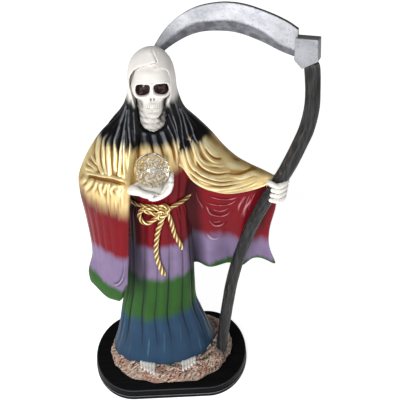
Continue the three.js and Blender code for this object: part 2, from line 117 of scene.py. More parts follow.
def between_ends(v: Array) -> Array:
    """1, but 0 at both ends of a body, which closes a thin one along a line."""
    return np.where((v > AT_END) & (v < 1 - AT_END), 1.0, 0.0)


def round_ends(v: Array, steep: float) -> Array:
    """1, but falling off as a round cap over 1 / steep of the length at both ends."""
    return np.sqrt(np.clip(np.minimum(v, 1 - v) * steep, 0, 1))


def unit(vectors: Array) -> Array:
    """Vectors made 1 long, each a column."""
    return vectors / np.linalg.norm(vectors, axis=0)


def spaced(rows: Sequence[Row]) -> list[Row]:
    """A table of stations whose places are even shares from 0 to 1."""
    return [(i / (len(rows) - 1), *row) for i, row in enumerate(rows)]


def along(table: Sequence[Row], at: Values) -> Array:
    """Columns of a table of stations, eased between its rows.

    Args:
        table: Rows that start with their place, in rising order.
        at: Places to read.

    Returns:
        One array for each further column.
    """
    rows = np.asarray(table, float)
    place = np.clip(np.atleast_1d(at), rows[0, 0], rows[-1, 0])
    last = len(rows) - 1
    i = np.clip(np.searchsorted(rows[:, 0], place, side="left") - 1, 0, last - 1)
    before, low, high = rows[np.maximum(i - 1, 0)], rows[i], rows[i + 1]
    after = rows[np.minimum(i + 2, last)]
    span = high[:, :1] - low[:, :1]
    t = (place[:, None] - low[:, :1]) / span
    slope_in = (high - before) / (high[:, :1] - before[:, :1]) * span
    slope_out = (after - low) / (after[:, :1] - low[:, :1]) * span
    t2, t3 = t * t, t * t * t
    near = (2 * t3 - 3 * t2 + 1) * low + (t3 - 2 * t2 + t) * slope_in
    return (near + (3 * t2 - 2 * t3) * high + (t3 - t2) * slope_out)[:, 1:].T


def distance_to(path: Sequence[Row], x: Array, z: Array) -> Array:
    """Distance of points from an open line of corners in a plane.

    Args:
        path: Corners of the line.
        x: First coordinates of the points.
        z: Second coordinates of the points.

    Returns:
        The distances.
    """
    best = np.full(x.shape, np.inf)
    for (ax, az), (bx, bz) in zip(path, path[1:]):
        dx, dz = bx - ax, bz - az
        t = np.clip(((x - ax) * dx + (z - az) * dz) / (dx * dx + dz * dz), 0, 1)
        best = np.minimum(best, np.hypot(x - ax - t * dx, z - az - t * dz))
    return best


# How a fold is carved: points read between its corners, its reach in widths, the distance of what lies
# beyond that, and how far its height runs on past its ends.
STEPS_TO_CORNER = 6
FOLD_REACH = 6
FAR_AWAY = 99.0
RUN_PAST = 0.02
# How a fold takes paint: the width in millimetres up to which a crest takes all of its dry-brushing and
# painted highlight, and the reach in widths and the depth of the painted shade beside a crest.
NARROW = 3.4
SHADE_REACH = 2.3
SHADE_DEPTH = 1.2


@dataclass(frozen=True)
class Fold:
    """A carved ridge seen from the front, or a groove where its height is below zero.

    The path gives x and height of its corners in millimetres; width and height are those of its
    round top, and both ends run out over the given shares of its length.
    """

    path: tuple[Row, ...]
    wide: float = 1.2
    high: float = 0.9
    ends: Row = (0.2, 0.2)

    def reach(self, x: Array, z: Array) -> tuple[Array, Array]:
        """How near points are to the fold.

        Args:
            x: First coordinates of the points.
            z: Second coordinates of the points.

        Returns:
            Distance from the fold's line, FAR_AWAY beyond its reach, and the share of its full height.
        """
        share = np.linspace(0, 1, STEPS_TO_CORNER * len(self.path))
        px, pz = along(spaced(self.path), share)
        edge = FOLD_REACH * self.wide
        near = (x > px.min() - edge) & (x < px.max() + edge)
        near &= (z > pz.min() - edge) & (z < pz.max() + edge)
        away_from, run_there = np.full(x.shape, FAR_AWAY), np.zeros(x.shape)
        xs, zs = x[near], z[near]
        best, place = np.full(xs.shape, np.inf), np.zeros(xs.shape)
        for i in range(len(share) - 1):
            dx, dz = px[i + 1] - px[i], pz[i + 1] - pz[i]
            t = ((xs - px[i]) * dx + (zs - pz[i]) * dz) / (dx * dx + dz * dz)
            t = np.clip(t, 0, 1)
            away = np.hypot(xs - px[i] - t * dx, zs - pz[i] - t * dz)
            closer = away < best
            best = np.where(closer, away, best)
            place = np.where(closer, mix(share[i], share[i + 1], t), place)
        start, stop = self.ends
        away_from[near] = best
        run_in = ramp(place, -RUN_PAST, start + AT_END)
        run_there[near] = run_in * (1 - ramp(place, 1 - stop - AT_END, 1 + RUN_PAST))
        return away_from, run_there


def carved(folds: Iterable[Fold], x: Array, z: Array) -> tuple[Array, Array]:
    """Carves folds into a surface.

    Args:
        folds: The ridges and grooves.
        x: First coordinates of the points.
        z: Second coordinates of the points.

    Returns:
        Height at the points, and how they take paint: 1 on a crest, which takes dry-brushing and painted
        highlight, below 0 beside one or in a groove, which take painted shade and wash.
    """
    up, down, crest, beside, groove = (np.zeros(x.shape) for _ in range(5))
    for fold in folds:
        away, run = fold.reach(x, z)
        top = run * bell(away, 0, fold.wide)
        if fold.high > 0:
            up = np.maximum(up, fold.high * top)
            crest = np.maximum(crest, top * min(1, NARROW / fold.wide))
            beside = np.maximum(beside, run * bell(away, 0, SHADE_REACH * fold.wide))
        else:
            down = np.minimum(down, fold.high * top)
            groove = np.maximum(groove, top)
    return up + down, crest - SHADE_DEPTH * np.maximum(beside - crest, 0) - groove


def inside(outline: Sequence[Row], x: Array, z: Array) -> Array:
    """Whether points lie inside a closed outline.

    Args:
        outline: Corners of the outline.
        x: First coordinates of the points.
        z: Second coordinates of the points.

    Returns:
        An array of truth values.
    """
    found = np.zeros(x.shape, bool)
    for (ax, az), (bx, bz) in zip(outline, [*outline[1:], outline[0]]):
        if az == bz:
            continue
        crosses = (az > z) != (bz > z)
        found ^= crosses & (x < ax + (z - az) * (bx - ax) / (bz - az))
    return found


# Loss and step of the layers of fractal noise, and how sharply a crack stands out.
NOISE_FALL = 0.9
NOISE_STEP = 2.1
CRACK_SHARPNESS = 5


def rough(points: Iterable[Row], scale: float, octaves: int, seed: float) -> Array:
    """Fractal noise at points, about -1 to 1.

    Args:
        points: Points in millimetres.
        scale: Size of the largest lumps in millimetres.
        octaves: How many finer layers are added.
        seed: Shift of the noise field.

    Returns:
        One value for each point.
    """
    shift = Vector((seed, seed * 0.7, -seed))
    layers = (NOISE_FALL, NOISE_STEP, octaves)
    return np.array([noise.fractal(Vector(p) / scale + shift, *layers) for p in points])


def cracks(points: Iterable[Row], scale: float, seed: float) -> Array:
    """Closeness to the border between cells of broken stone, 1 on the border.

    Args:
        points: Points in millimetres.
        scale: Size of a cell in millimetres.
        seed: Shift of the cells.

    Returns:
        One value for each point.
    """
    shift = Vector((seed, -seed, seed * 0.3))
    gaps = [noise.voronoi(Vector(p) / scale + shift)[0] for p in points]
    return np.array([1 - min((d[1] - d[0]) * CRACK_SHARPNESS, 1) for d in gaps])


# Sizes of the statue as drawn, in millimetres.
ROCK_HALF_WIDTH = 64
ROCK_HALF_DEPTH = 51
ROCK_FOOT = 12.3
ROCK_TOP = 27.5
HEM = ROCK_TOP - 1.5
HEM_HALF_WIDTH = ROCK_HALF_WIDTH - 10
HEM_HALF_DEPTH = ROCK_HALF_DEPTH - 12.5
WAIST = 219
HOOD_TOP = 372
NECK_RADIUS = 12
# The pole: x, y and z of its foot, and its length.
POLE_FOOT = (ROCK_HALF_WIDTH - 10.5, -15, ROCK_TOP)
POLE_LENGTH = 348.0
# Height on the pole where the left hand holds it.
GRIP = 205.0
# The point of the right palm below the ball.
PALM = (-3.4, -50.0, 258.5)


def from_drawing() -> Vector:
    """Works out how far the drawn statue is moved to stand in the frame.

    Returns:
        The move in millimetres, which brings the palm under the ball of the frame.
    """
    low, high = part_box(Node.BALL.value)
    radius = (high.x - low.x) / 2
    drawn = Vector(PALM) * MM + Vector((0, 0, radius))
    return ((low + high) / 2 - drawn) / MM


SHIFT = from_drawing()


def bend_grid(across: int, rows: int, bend: Bend) -> Body:
    """A grid of cells bent round into a closed body.

    Args:
        across: Cells round the body.
        rows: Cells along it.
        bend: Gives x, y, z in millimetres and vertex values for arrays of u and v from 0 to 1.

    Returns:
        The body, its seam merged and its ends filled.
    """
    bm = bmesh.new()
    bmesh.ops.create_grid(bm, x_segments=across, y_segments=rows, size=0.5)
    u = np.array([v.co.x + 0.5 for v in bm.verts])
    v = np.array([v.co.y + 0.5 for v in bm.verts])
    x, y, z, values = bend(u, v)
    for vert, co in zip(bm.verts, np.stack([x, y, z], axis=1)):
        vert.co = co
    for name, value in values.items():
        layer = bm.verts.layers.float.new(name)
        for vert, one in zip(bm.verts, value):
            vert[layer] = one
    bmesh.ops.remove_doubles(bm, verts=bm.verts, dist=MERGE)
    bmesh.ops.holes_fill(bm, edges=[e for e in bm.edges if e.is_boundary], sides=0)
    bmesh.ops.recalc_face_normals(bm, faces=bm.faces)
    if bm.calc_volume(signed=True) < 0:
        bmesh.ops.reverse_faces(bm, faces=bm.faces)
        log.info("turned a body's faces outwards")
    return bm


def joined(parts: Iterable[Body]) -> Body:
    """Puts several bodies in one mesh.

    Args:
        parts: The bodies, which are used up.

    Returns:
        One body with all of them.
    """
    whole = bmesh.new()
    for part in parts:
        mesh = bpy.data.meshes.new("part")
        part.to_mesh(mesh)
        part.free()
        whole.from_mesh(mesh)
        bpy.data.meshes.remove(mesh)
    return whole


@dataclass(frozen=True)
class Melt:
    """Blending of overlapping bodies into one carved form: cell in millimetres, and smoothing passes."""

    cell: float = 0.6
    smooth: int = 4


@dataclass(frozen=True)
class Wash:
    """How ridges and valleys are told apart: smoothing passes, and height of a full ridge in millimetres."""

    passes: int = 24
    height: float = 0.35


def store_relief(mesh: bpy.types.Mesh, wash: Wash) -> None:
    """Stores how far each point stands over its surroundings, from -1 in a valley to 1 on a ridge.

    Args:
        mesh: The finished mesh, in metres.
        wash: Reach and full height of the relief.
    """
    count = len(mesh.vertices)
    places = np.empty(count * 3)
    mesh.vertices.foreach_get("co", places)
    places = places.reshape(-1, 3) / MM
    normals = np.empty(count * 3)
    mesh.vertices.foreach_get("normal", normals)
    normals = normals.reshape(-1, 3)
    ends = np.empty(len(mesh.edges) * 2, int)
    mesh.edges.foreach_get("vertices", ends)
    a, b = ends[0::2], ends[1::2]
    degree = np.maximum(np.bincount(a, minlength=count) + np.bincount(b, minlength=count), 1)
    smooth = places.copy()
    for _ in range(wash.passes):
        for k in range(3):
            column = smooth[:, k]
            total = np.bincount(a, column[b], count) + np.bincount(b, column[a], count)
            smooth[:, k] = (column + total / degree) / 2
    relief = np.clip(((places - smooth) * normals).sum(axis=1) / wash.height, -1, 1)
    layer = mesh.attributes.new("relief", "FLOAT", "POINT")
    layer.data.foreach_set("value", relief.astype(np.float32))


@dataclass
class Piece:
    """A modelled piece and how it joins the frame; sharp is the least angle of a hard edge in degrees."""

    name: str
    node: Node
    slot: Slot
    material: Material
    wash: Wash = Wash()
    melt: Melt | None = None
    sharp: float = 0.0

    def place(self, bm: Body, moved: bool = True) -> bpy.types.Object:
        """Turns a body in millimetres into an object of the part.

        Args:
            bm: The body, which is used up.
            moved: Whether the body is drawn in the statue's own place.

        Returns:
            The object, riding on the frame.
        """
        if moved:
            bmesh.ops.translate(bm, verts=bm.verts, vec=SHIFT)
        bmesh.ops.scale(bm, verts=bm.verts, vec=(MM, MM, MM))
        bmesh.ops.triangulate(bm, faces=[f for f in bm.faces if len(f.verts) > 4])
        mesh = bpy.data.meshes.new(self.name)
        bm.to_mesh(mesh)
        bm.free()
        piece = bpy.data.objects.new(self.name, mesh)
        bpy.context.scene.collection.objects.link(piece)
        if self.melt:
            self.blend_into_one(piece)
        for polygon in piece.data.polygons:
            polygon.use_smooth = True
        if self.sharp:
            piece.data.set_sharp_from_angle(angle=math.radians(self.sharp))
        store_relief(piece.data, self.wash)
        piece.data.materials.append(self.material)
        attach(piece, "root")
        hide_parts(self.node.value)
        log.info("%s: %d faces, replaces %s", self.name, len(piece.data.polygons), self.node.value)
        return piece

    def blend_into_one(self, piece: bpy.types.Object) -> None:
        """Melts the overlapping bodies of a piece together.

        Args:
            piece: The object, which gets a new mesh.
        """
        remesh = piece.modifiers.new("melt", "REMESH")
        remesh.mode = "VOXEL"
        remesh.voxel_size = self.melt.cell * MM
        soft = piece.modifiers.new("soften", "SMOOTH")
        soft.factor = 0.5
        soft.iterations = self.melt.smooth
        shaped = piece.evaluated_get(bpy.context.evaluated_depsgraph_get())
        mesh = bpy.data.meshes.new_from_object(shaped)
        piece.modifiers.clear()
        piece.data = mesh
        mesh.name = piece.name


def cast_piece(name: str, paint: Material, wash: Wash, melt: Melt | None = None) -> Piece:
    """A piece of the painted casting."""
    return Piece(name, Node.FIGURE, Slot.RESIN, paint, wash, melt)


# Shader trees.

Colour = tuple[float, float, float]


def srgb(red: float, green: float, blue: float) -> Colour:
    """A colour of 0 to 255 values as linear light, by the standard curve."""
    shares = [v / 255 for v in (red, green, blue)]
    return tuple(v / 12.92 if v <= 0.04045 else ((v + 0.055) / 1.055) ** 2.4 for v in shares)


class Wire:
    """A value in a shader tree, with arithmetic written as Python."""

    def __init__(self, tree: "Tree", socket: bpy.types.NodeSocket) -> None:
        """Wraps an output socket of a tree."""
        self.tree = tree
        self.socket = socket

    def _maths(self, operation: str, *values: "Wire | float") -> "Wire":
        """The result of a Math node."""
        return self.tree.add("ShaderNodeMath", {"operation": operation}, dict(enumerate(values)))

    def __add__(self, other: "Wire | float") -> "Wire":
        """Sum."""
        return self._maths("ADD", self, other)

    def __radd__(self, other: float) -> "Wire":
        """Sum, number first."""
        return self._maths("ADD", other, self)

    def __sub__(self, other: "Wire | float") -> "Wire":
        """Difference."""
        return self._maths("SUBTRACT", self, other)

    def __rsub__(self, other: float) -> "Wire":
        """Difference, number first."""
        return self._maths("SUBTRACT", other, self)

    def __mul__(self, other: "Wire | float") -> "Wire":
        """Product."""
        return self._maths("MULTIPLY", self, other)

    def __rmul__(self, other: float) -> "Wire":
        """Product, number first."""
        return self._maths("MULTIPLY", other, self)

    def rise(self, low: float, high: float) -> "Wire":
        """0 below low and 1 above high, eased between."""
        return self.tree.add(
            "ShaderNodeMapRange",
            {"interpolation_type": "SMOOTHSTEP"},
            {"Value": self, "From Min": low, "From Max": high},
        )


class Tree:
    """A material and the nodes that make it."""

    def __init__(self, name: str) -> None:
        """Starts a material with a Principled shader.

        Args:
            name: Name of the material.
        """
        self.material = bpy.data.materials.new(name)
        self.material.use_nodes = True
        self.nodes = self.material.node_tree.nodes
        self.links = self.material.node_tree.links
        self.shader = self.nodes["Principled BSDF"]

    def add(
        self, kind: str, settings: dict | None = None, inputs: dict | None = None, output: int | str = 0
    ) -> Wire:
        """Adds a node.

        Args:
            kind: Type of the node.
            settings: Its properties, set before its sockets.
            inputs: Values or wires by socket name or number.
            output: Which of its outputs to return.

        Returns:
            A wire from that output.
        """
        node = self.nodes.new(kind)
        for name, value in (settings or {}).items():
            setattr(node, name, value)
        for name, value in (inputs or {}).items():
            self.feed(node.inputs[name], value)
        return Wire(self, node.outputs[output])

    def feed(self, socket: bpy.types.NodeSocket, value: Wire | float | Row) -> None:
        """Links a wire to a socket, or sets a plain value on it.

        Args:
            socket: An input socket.
            value: A wire, a number, a vector or a colour.
        """
        if isinstance(value, Wire):
            self.links.new(value.socket, socket)
        elif isinstance(value, tuple) and len(value) == 3 and socket.type == "RGBA":
            socket.default_value = (*value, 1)
        else:
            socket.default_value = value

    def blend(self, share: Wire | float, below: Wire | Colour, above: Wire | Colour) -> Wire:
        """Colour between two colours."""
        return self.add("ShaderNodeMix", {"data_type": "RGBA"}, {0: share, 6: below, 7: above}, 2)

    def place(self) -> Wire:
        """Position on the piece."""
        return self.add("ShaderNodeTexCoord", output="Object")

    def axis(self, name: str) -> Wire:
        """One coordinate of the position, in millimetres."""
        return self.add("ShaderNodeSeparateXYZ", inputs={0: self.place()}, output=name) * (1 / MM)

    def value(self, name: str) -> Wire:
        """A value stored on the mesh."""
        return self.add("ShaderNodeAttribute", {"attribute_name": name}, output="Fac")

    def stretched(self, scale: Row) -> Wire:
        """Position scaled by a different factor along each axis."""
        return self.add("ShaderNodeMapping", inputs={"Vector": self.place(), "Scale": tuple(scale)})

    def grain(self, size: float, detail: float = 3, stretch: Row = (1, 1, 1)) -> Wire:
        """Noise from 0 to 1 with lumps of a size in millimetres."""
        scale = [s / (size * MM) for s in stretch]
        return self.add(
            "ShaderNodeTexNoise", inputs={"Vector": self.stretched(scale), "Scale": 1.0, "Detail": detail}
        )

    def finish(self, sockets: dict, bump: Wire | None = None, height: float = 0.1) -> Material:
        """Feeds the shader.

        Args:
            sockets: Values or wires by the shader's socket names.
            bump: Height pattern from 0 to 1.
            height: Full height of the pattern in millimetres.

        Returns:
            The material.
        """
        for name, value in sockets.items():
            self.feed(self.shader.inputs[name], value)
        if bump:
            relief = {"Height": bump, "Distance": height * MM}
            normal = self.add("ShaderNodeBump", inputs=relief, output="Normal")
            self.feed(self.shader.inputs["Normal"], normal)
        return self.material


@dataclass(frozen=True)
class Paint:
    """One airbrushed colour, paler on its ridges by dry-brushing and painted highlight, darker in its valleys
    by wash and painted shade.

    Fine is how much brushing and painted highlight a point needs before its ridge colour shows.
    """

    body: Colour
    ridge: Colour
    valley: Colour
    metal: float = 0.0
    rough: float = 0.42
    fine: float = 0.2


class Band(Enum):
    """Colours of the robe, from the hood down."""

    WHITE = Paint(srgb(246, 242, 237), srgb(252, 249, 246), srgb(146, 136, 128))
    BLACK = Paint(srgb(17, 17, 19), srgb(118, 121, 131), srgb(4, 4, 5), 0.0, 0.36, 0.22)
    GOLD = Paint(srgb(232, 209, 150), srgb(255, 245, 204), srgb(144, 100, 46), 0.5, 0.4, 0.15)
    RED = Paint(srgb(122, 18, 28), srgb(208, 140, 150), srgb(40, 8, 12), 0.0, 0.24, 0.35)
    PURPLE = Paint(srgb(134, 116, 150), srgb(206, 197, 216), srgb(56, 52, 64), 0.0, 0.36, 0.4)
    GREEN = Paint(srgb(48, 90, 36), srgb(82, 124, 72), srgb(22, 40, 30), 0.0, 0.4, 0.4)
    BLUE = Paint(srgb(43, 70, 96), srgb(80, 112, 138), srgb(18, 30, 46), 0.0, 0.4, 0.4)


@dataclass(frozen=True)
class Edge:
    """Where one colour of the robe gives way to the next one down.

    Heights are millimetres over the floor at the middle of the figure. Soft is half the height of the
    blend, slope the rise for each millimetre to the viewer's right, and lift how much higher the lower
    colour reaches on a ridge.
    """

    below: Band
    height: float
    soft: float = 6.0
    slope: float = 0.0
    lift: float = 0.0


@dataclass(frozen=True)
class ClothPaint:
    """Airbrushed bands of colour over carved cloth.

    First is the uppermost colour, streak how far the edges wander in millimetres, dusk the colour of
    deep shade, and gloss the strength of reflections.
    """

    name: str
    first: Band
    edges: tuple[Edge, ...]
    streak: float = 7.0
    dusk: Colour = srgb(26, 25, 30)
    gloss: float = 0.1

    def build(self) -> Material:
        """Mixes the material.

        Returns:
            The material.
        """
        tree = Tree(self.name)
        relief = tree.value("relief")
        brush_and_painted_light = tree.value("brush_and_painted_light")
        wander = (tree.grain(9, 3, (1, 1, 0.25)) - 0.5) * (self.streak * 2)
        height = tree.axis("Z") + wander
        across = tree.axis("X")
        first = self.first.value
        body, ridge, valley = first.body, first.ridge, first.valley
        metal, matt, fine = first.metal, first.rough, first.fine
        for edge in self.edges:
            here = height - across * edge.slope - (relief * 0.4 + brush_and_painted_light * 0.6) * edge.lift
            share = 1 - here.rise(edge.height - edge.soft, edge.height + edge.soft)
            paint = edge.below.value
            body = tree.blend(share, body, paint.body)
            ridge = tree.blend(share, ridge, paint.ridge)
            valley = tree.blend(share, valley, paint.valley)
            metal = share * (paint.metal - metal) + metal
            matt = share * (paint.rough - matt) + matt
            fine = share * (paint.fine - fine) + fine
        speck = tree.grain(1.2, 2)
        patchy = tree.grain(6, 4).rise(0.3, 0.6) * 0.5 + 0.5
        long_patch = tree.grain(7, 2, (1, 1, 0.3)).rise(0.3, 0.62) * 0.6 + 0.4
        # Paler on ridges by dry-brushing and painted highlight, darker in valleys by wash and painted shade.
        high = (brush_and_painted_light - fine + relief * 0.15).rise(0.05, 0.75) * patchy * long_patch
        low = (0 - relief).rise(0.15, 0.9) * 0.6 + (0 - brush_and_painted_light).rise(0.05, 0.9)
        colour = tree.blend(high, tree.blend(low, body, valley), ridge)
        colour = tree.blend((tree.grain(14, 4) - 0.5) * 0.5 + 0.08, colour, valley)
        # Painted shade, towards the valley colour and the colour of deep shade.
        shade = tree.value("shade")
        colour = tree.blend(shade, colour, tree.blend(0.2, valley, self.dusk))
        bump = tree.grain(0.9, 3) * 0.6 + tree.grain(4.0, 2) * 0.4
        return tree.finish(
            {
                "Base Color": colour,
                "Metallic": metal,
                "Roughness": matt + (speck - 0.5) * 0.12 + shade * 0.4,
                "Specular IOR Level": self.gloss,
            },
            bump,
            0.03,
        )


# Paints of the four cloths, from their top colour down.
ROBE_PAINT = ClothPaint("robe_paint", Band.WHITE, (
    Edge(Band.BLACK, 327, 5),
    Edge(Band.GOLD, 285.8, 6, -0.07, lift=2.5),
    Edge(Band.RED, 252, 11, 0.5, lift=9),
    Edge(Band.PURPLE, 171.5, 5, lift=3),
    Edge(Band.GREEN, 132, 5, lift=3),
    Edge(Band.BLUE, 84, 7, 0.15, lift=3),
))
RIGHT_SLEEVE_PAINT = ClothPaint("right_sleeve_paint", Band.BLACK, (
    Edge(Band.GOLD, 285, 5, lift=4),
    Edge(Band.RED, 216, 11, -0.28, lift=9),
    Edge(Band.PURPLE, 163, 5, -0.25, lift=3),
    Edge(Band.GREEN, 106, 4, -0.57, lift=2),
))
SWAG_PAINT = ClothPaint("swag_paint", Band.BLACK, (Edge(Band.GOLD, 271, 6, 0.2, lift=4),))
INNER_CLOTH_PAINT = ClothPaint("inner_cloth_paint", Band.RED, (
    Edge(Band.PURPLE, 184, 8, -0.28, lift=3),
    Edge(Band.GREEN, 134, 3),
))


@dataclass(frozen=True)
class BonePaint:
    """Matt white paint, paler on its ridges as painted highlight, darker in its hollows by a grey-brown wash
    and painted shade, with dark brown eye sockets.
    """

    name: str = "bone_paint"
    base: Colour = srgb(222, 219, 213)
    wash: Colour = srgb(104, 94, 86)
    ridge: Colour = srgb(238, 236, 231)
    pit: Colour = srgb(20, 12, 11)
    rust: Colour = srgb(58, 30, 25)

    def build(self) -> Material:
        """Mixes the material.

        Returns:
            The material.
        """
        tree = Tree(self.name)
        relief = tree.value("relief")
        stain = tree.value("stain")
        cloud = tree.grain(5, 4)
        # Wash and painted shade in the hollows, painted highlight on the ridges.
        low = (0 - relief + (cloud - 0.5) * 0.5).rise(0.08, 0.9)
        colour = tree.blend(low * 0.85, self.base, self.wash)
        colour = tree.blend(relief.rise(0.1, 0.8), colour, self.ridge)
        # Dark gaps between teeth and bones, and painted shade under the jaw, cheekbones and nose.
        shade_and_wash = tree.value("shade_and_wash") * (tree.grain(2.4, 4).rise(0.25, 0.7) * 0.6 + 0.4)
        colour = tree.blend(shade_and_wash, colour, self.wash)
        socket = tree.blend(tree.grain(3.2, 3).rise(0.35, 0.7), self.pit, self.rust)
        colour = tree.blend(stain.rise(0.3, 0.7), colour, socket)
        rough = 0.5 - stain.rise(0.3, 0.7) * 0.28
        return tree.finish(
            {"Base Color": colour, "Roughness": rough, "Specular IOR Level": 0.35},
            tree.grain(0.8, 3),
            0.08,
        )


@dataclass(frozen=True)
class RopePaint:
    """Gold paint over a twisted rope, with painted shade between the strands and a painted highlight on their
    crests.
    """

    name: str = "rope_gold"
    gap_shade: Colour = srgb(54, 36, 14)
    gold: Colour = srgb(180, 144, 78)
    glint: Colour = srgb(255, 240, 184)

    def build(self) -> Material:
        """Mixes the material.

        Returns:
            The material.
        """
        tree = Tree(self.name)
        crest = tree.value("crest")
        colour = tree.blend(crest.rise(0.55, 0.86), self.gap_shade, self.gold)
        colour = tree.blend(crest.rise(0.92, 1.0), colour, self.glint)
        return tree.finish(
            {"Base Color": colour, "Metallic": 0.6, "Roughness": 0.32 + tree.grain(1.0, 2) * 0.14},
            tree.grain(0.6, 2),
            0.05,
        )


@dataclass(frozen=True)
class StonePaint:
    """Broken rock: pinkish brown, pale on its crests by dry-brushing and painted highlight, dark in its
    cracks and hollows as painted shade, darker round the pole's foot and in painted shade under the hem.
    """

    name: str = "rock_paint"
    brown: Colour = srgb(170, 126, 106)
    sand: Colour = srgb(182, 158, 140)
    speck: Colour = srgb(96, 74, 64)
    crest: Colour = srgb(222, 202, 188)
    crack: Colour = srgb(46, 38, 34)
    pole_dark_and_hem_shade: Colour = srgb(58, 54, 52)

    def build(self) -> Material:
        """Mixes the material.

        Returns:
            The material.
        """
        tree = Tree(self.name)
        relief = tree.value("relief")
        patch = tree.grain(13, 5)
        colour = tree.blend(patch.rise(0.4, 0.6), self.brown, self.sand)
        fine = tree.grain(1.4, 5)
        colour = tree.blend(fine.rise(0.52, 0.7) * 0.7, colour, self.speck)
        # Pale specks on the crests, dry-brushing and painted highlight.
        pale = relief.rise(0.2, 0.9) * fine.rise(0.35, 0.55) * 0.9
        colour = tree.blend(pale, colour, self.crest)
        # Painted shade in the cracks and hollows.
        colour = tree.blend((0 - relief).rise(0.08, 0.6), colour, self.crack)
        # Darker round the pole's foot, and painted shade under the hem.
        colour = tree.blend(tree.value("pole_dark_and_hem_shade"), colour, self.pole_dark_and_hem_shade)
        return tree.finish({"Base Color": colour, "Roughness": 0.6 - fine * 0.15}, fine, 0.25)


@dataclass(frozen=True)
class PolePaint:
    """Charcoal paint brushed along the pole, with rubbed copper scratches."""

    name: str = "pole_paint"
    dark: Colour = srgb(15, 15, 16)
    grey: Colour = srgb(46, 46, 46)
    crest: Colour = srgb(92, 90, 87)
    valley: Colour = srgb(12, 12, 13)
    copper: Colour = srgb(150, 112, 84)
    # Heights between which the scratches set in above the foot, and fade below the blade.
    rubbed: tuple[Row, Row] = ((150, 190), (225, 260))

    def build(self) -> Material:
        """Mixes the material.

        Returns:
            The material.
        """
        tree = Tree(self.name)
        relief = tree.value("relief")
        streak = tree.grain(3.0, 5, (1, 1, 0.12))
        colour = tree.blend(streak.rise(0.35, 0.7), self.dark, self.grey)
        colour = tree.blend(relief.rise(0.3, 1.0) * 0.5, colour, self.crest)
        colour = tree.blend((0 - relief).rise(0.1, 0.9), colour, self.valley)
        height = tree.axis("Z")
        set_in, fade = self.rubbed
        middle = height.rise(*set_in) * (1 - height.rise(*fade))
        scratch = tree.grain(1.3, 2, (1, 1, 0.06)).rise(0.66, 0.72) * (middle * 0.7 + 0.3)
        colour = tree.blend(scratch, colour, self.copper)
        return tree.finish(
            {"Base Color": colour, "Roughness": 0.44 + streak * 0.2, "Specular IOR Level": 0.3},
            streak,
            0.12,
        )


@dataclass(frozen=True)
class BladePaint:
    """Silver paint, brighter on the flat, darker on the ground bevel and the rims."""

    name: str = "blade_paint"
    dull: Colour = srgb(168, 170, 177)
    bright: Colour = srgb(212, 213, 219)
    speck: Colour = srgb(132, 134, 142)
    stroke: Colour = srgb(140, 142, 150)
    bevel: tuple[Colour, Colour] = (srgb(80, 80, 86), srgb(120, 120, 128))
    shade: Colour = srgb(74, 76, 82)
    rim: Colour = srgb(66, 60, 54)

    def build(self) -> Material:
        """Mixes the material.

        Returns:
            The material.
        """
        tree = Tree(self.name)
        bevel = tree.value("bevel")
        cloud = tree.grain(26, 4)
        fine = tree.grain(1.6, 4)
        brushed = tree.grain(4, 3, (0.4, 1, 1))
        silver = tree.blend(cloud.rise(0.3, 0.65), self.dull, self.bright)
        silver = tree.blend(fine.rise(0.5, 0.75) * 0.5, silver, self.speck)
        silver = tree.blend(brushed.rise(0.5, 0.7) * 0.3, silver, self.stroke)
        steel = tree.blend(brushed.rise(0.3, 0.7), *self.bevel)
        colour = tree.blend((bevel + (fine - 0.5) * 0.5).rise(0.2, 0.8), silver, steel)
        colour = tree.blend(tree.value("shade") * 0.75, colour, self.shade)
        colour = tree.blend(tree.value("rim").rise(0.1, 0.9) * 0.9, colour, self.rim)
        return tree.finish(
            {"Base Color": colour, "Metallic": 0.3, "Roughness": 0.42 + cloud * 0.15},
            fine,
            0.1,
        )


@dataclass(frozen=True)
class LacquerPaint:
    """Black satin lacquer on wood, with painted highlights along the moulding."""

    name: str = "plinth_lacquer"
    black: Colour = srgb(5, 5, 6)
    grey: Colour = srgb(13, 13, 14)
    groove_highlight: Colour = srgb(150, 152, 158)

    def build(self) -> Material:
        """Mixes the material.

        Returns:
            The material.
        """
        tree = Tree(self.name)
        grain = tree.grain(2.5, 4, (0.08, 1, 1))
        colour = tree.blend(grain.rise(0.3, 0.7), self.black, self.grey)
        # Painted highlight along the moulding's edges.
        colour = tree.blend(tree.value("groove_highlight") * (grain * 0.6 + 0.4), colour, self.groove_highlight)
        return tree.finish(
            {"Base Color": colour, "Roughness": 0.4 + grain * 0.12, "Specular IOR Level": 0.07},
            grain,
            0.03,
        )


@dataclass(frozen=True)
class GlassFinish:
    """Clear cast resin, see-through."""

    name: str = "ball_glass"
    tint: Colour = (0.95, 0.92, 0.83)
    index: float = 1.46

    def build(self) -> Material:
        """Mixes the material."""
        sockets = {"Base Color": self.tint, "Roughness": 0.0, "IOR": self.index, "Transmission Weight": 1.0}
        return Tree(self.name).finish(sockets)


@dataclass(frozen=True)
class FlakeFinish:
    """Foil flakes sealed in the ball, with a faint glow as painted light."""

    name: str = "foil_flakes"
    silver: Colour = srgb(254, 252, 250)
    gold: Colour = srgb(238, 222, 186)
    glow: Colour = (1.0, 0.98, 0.95)
    glow_strength: float = 0.06

    def build(self) -> Material:
        """Mixes the material."""
        tree = Tree(self.name)
        return tree.finish({
            "Base Color": tree.blend(tree.grain(4, 2).rise(0.5, 0.7), self.silver, self.gold),
            "Roughness": 0.4,
            "Emission Color": self.glow,
            "Emission Strength": self.glow_strength,
        })


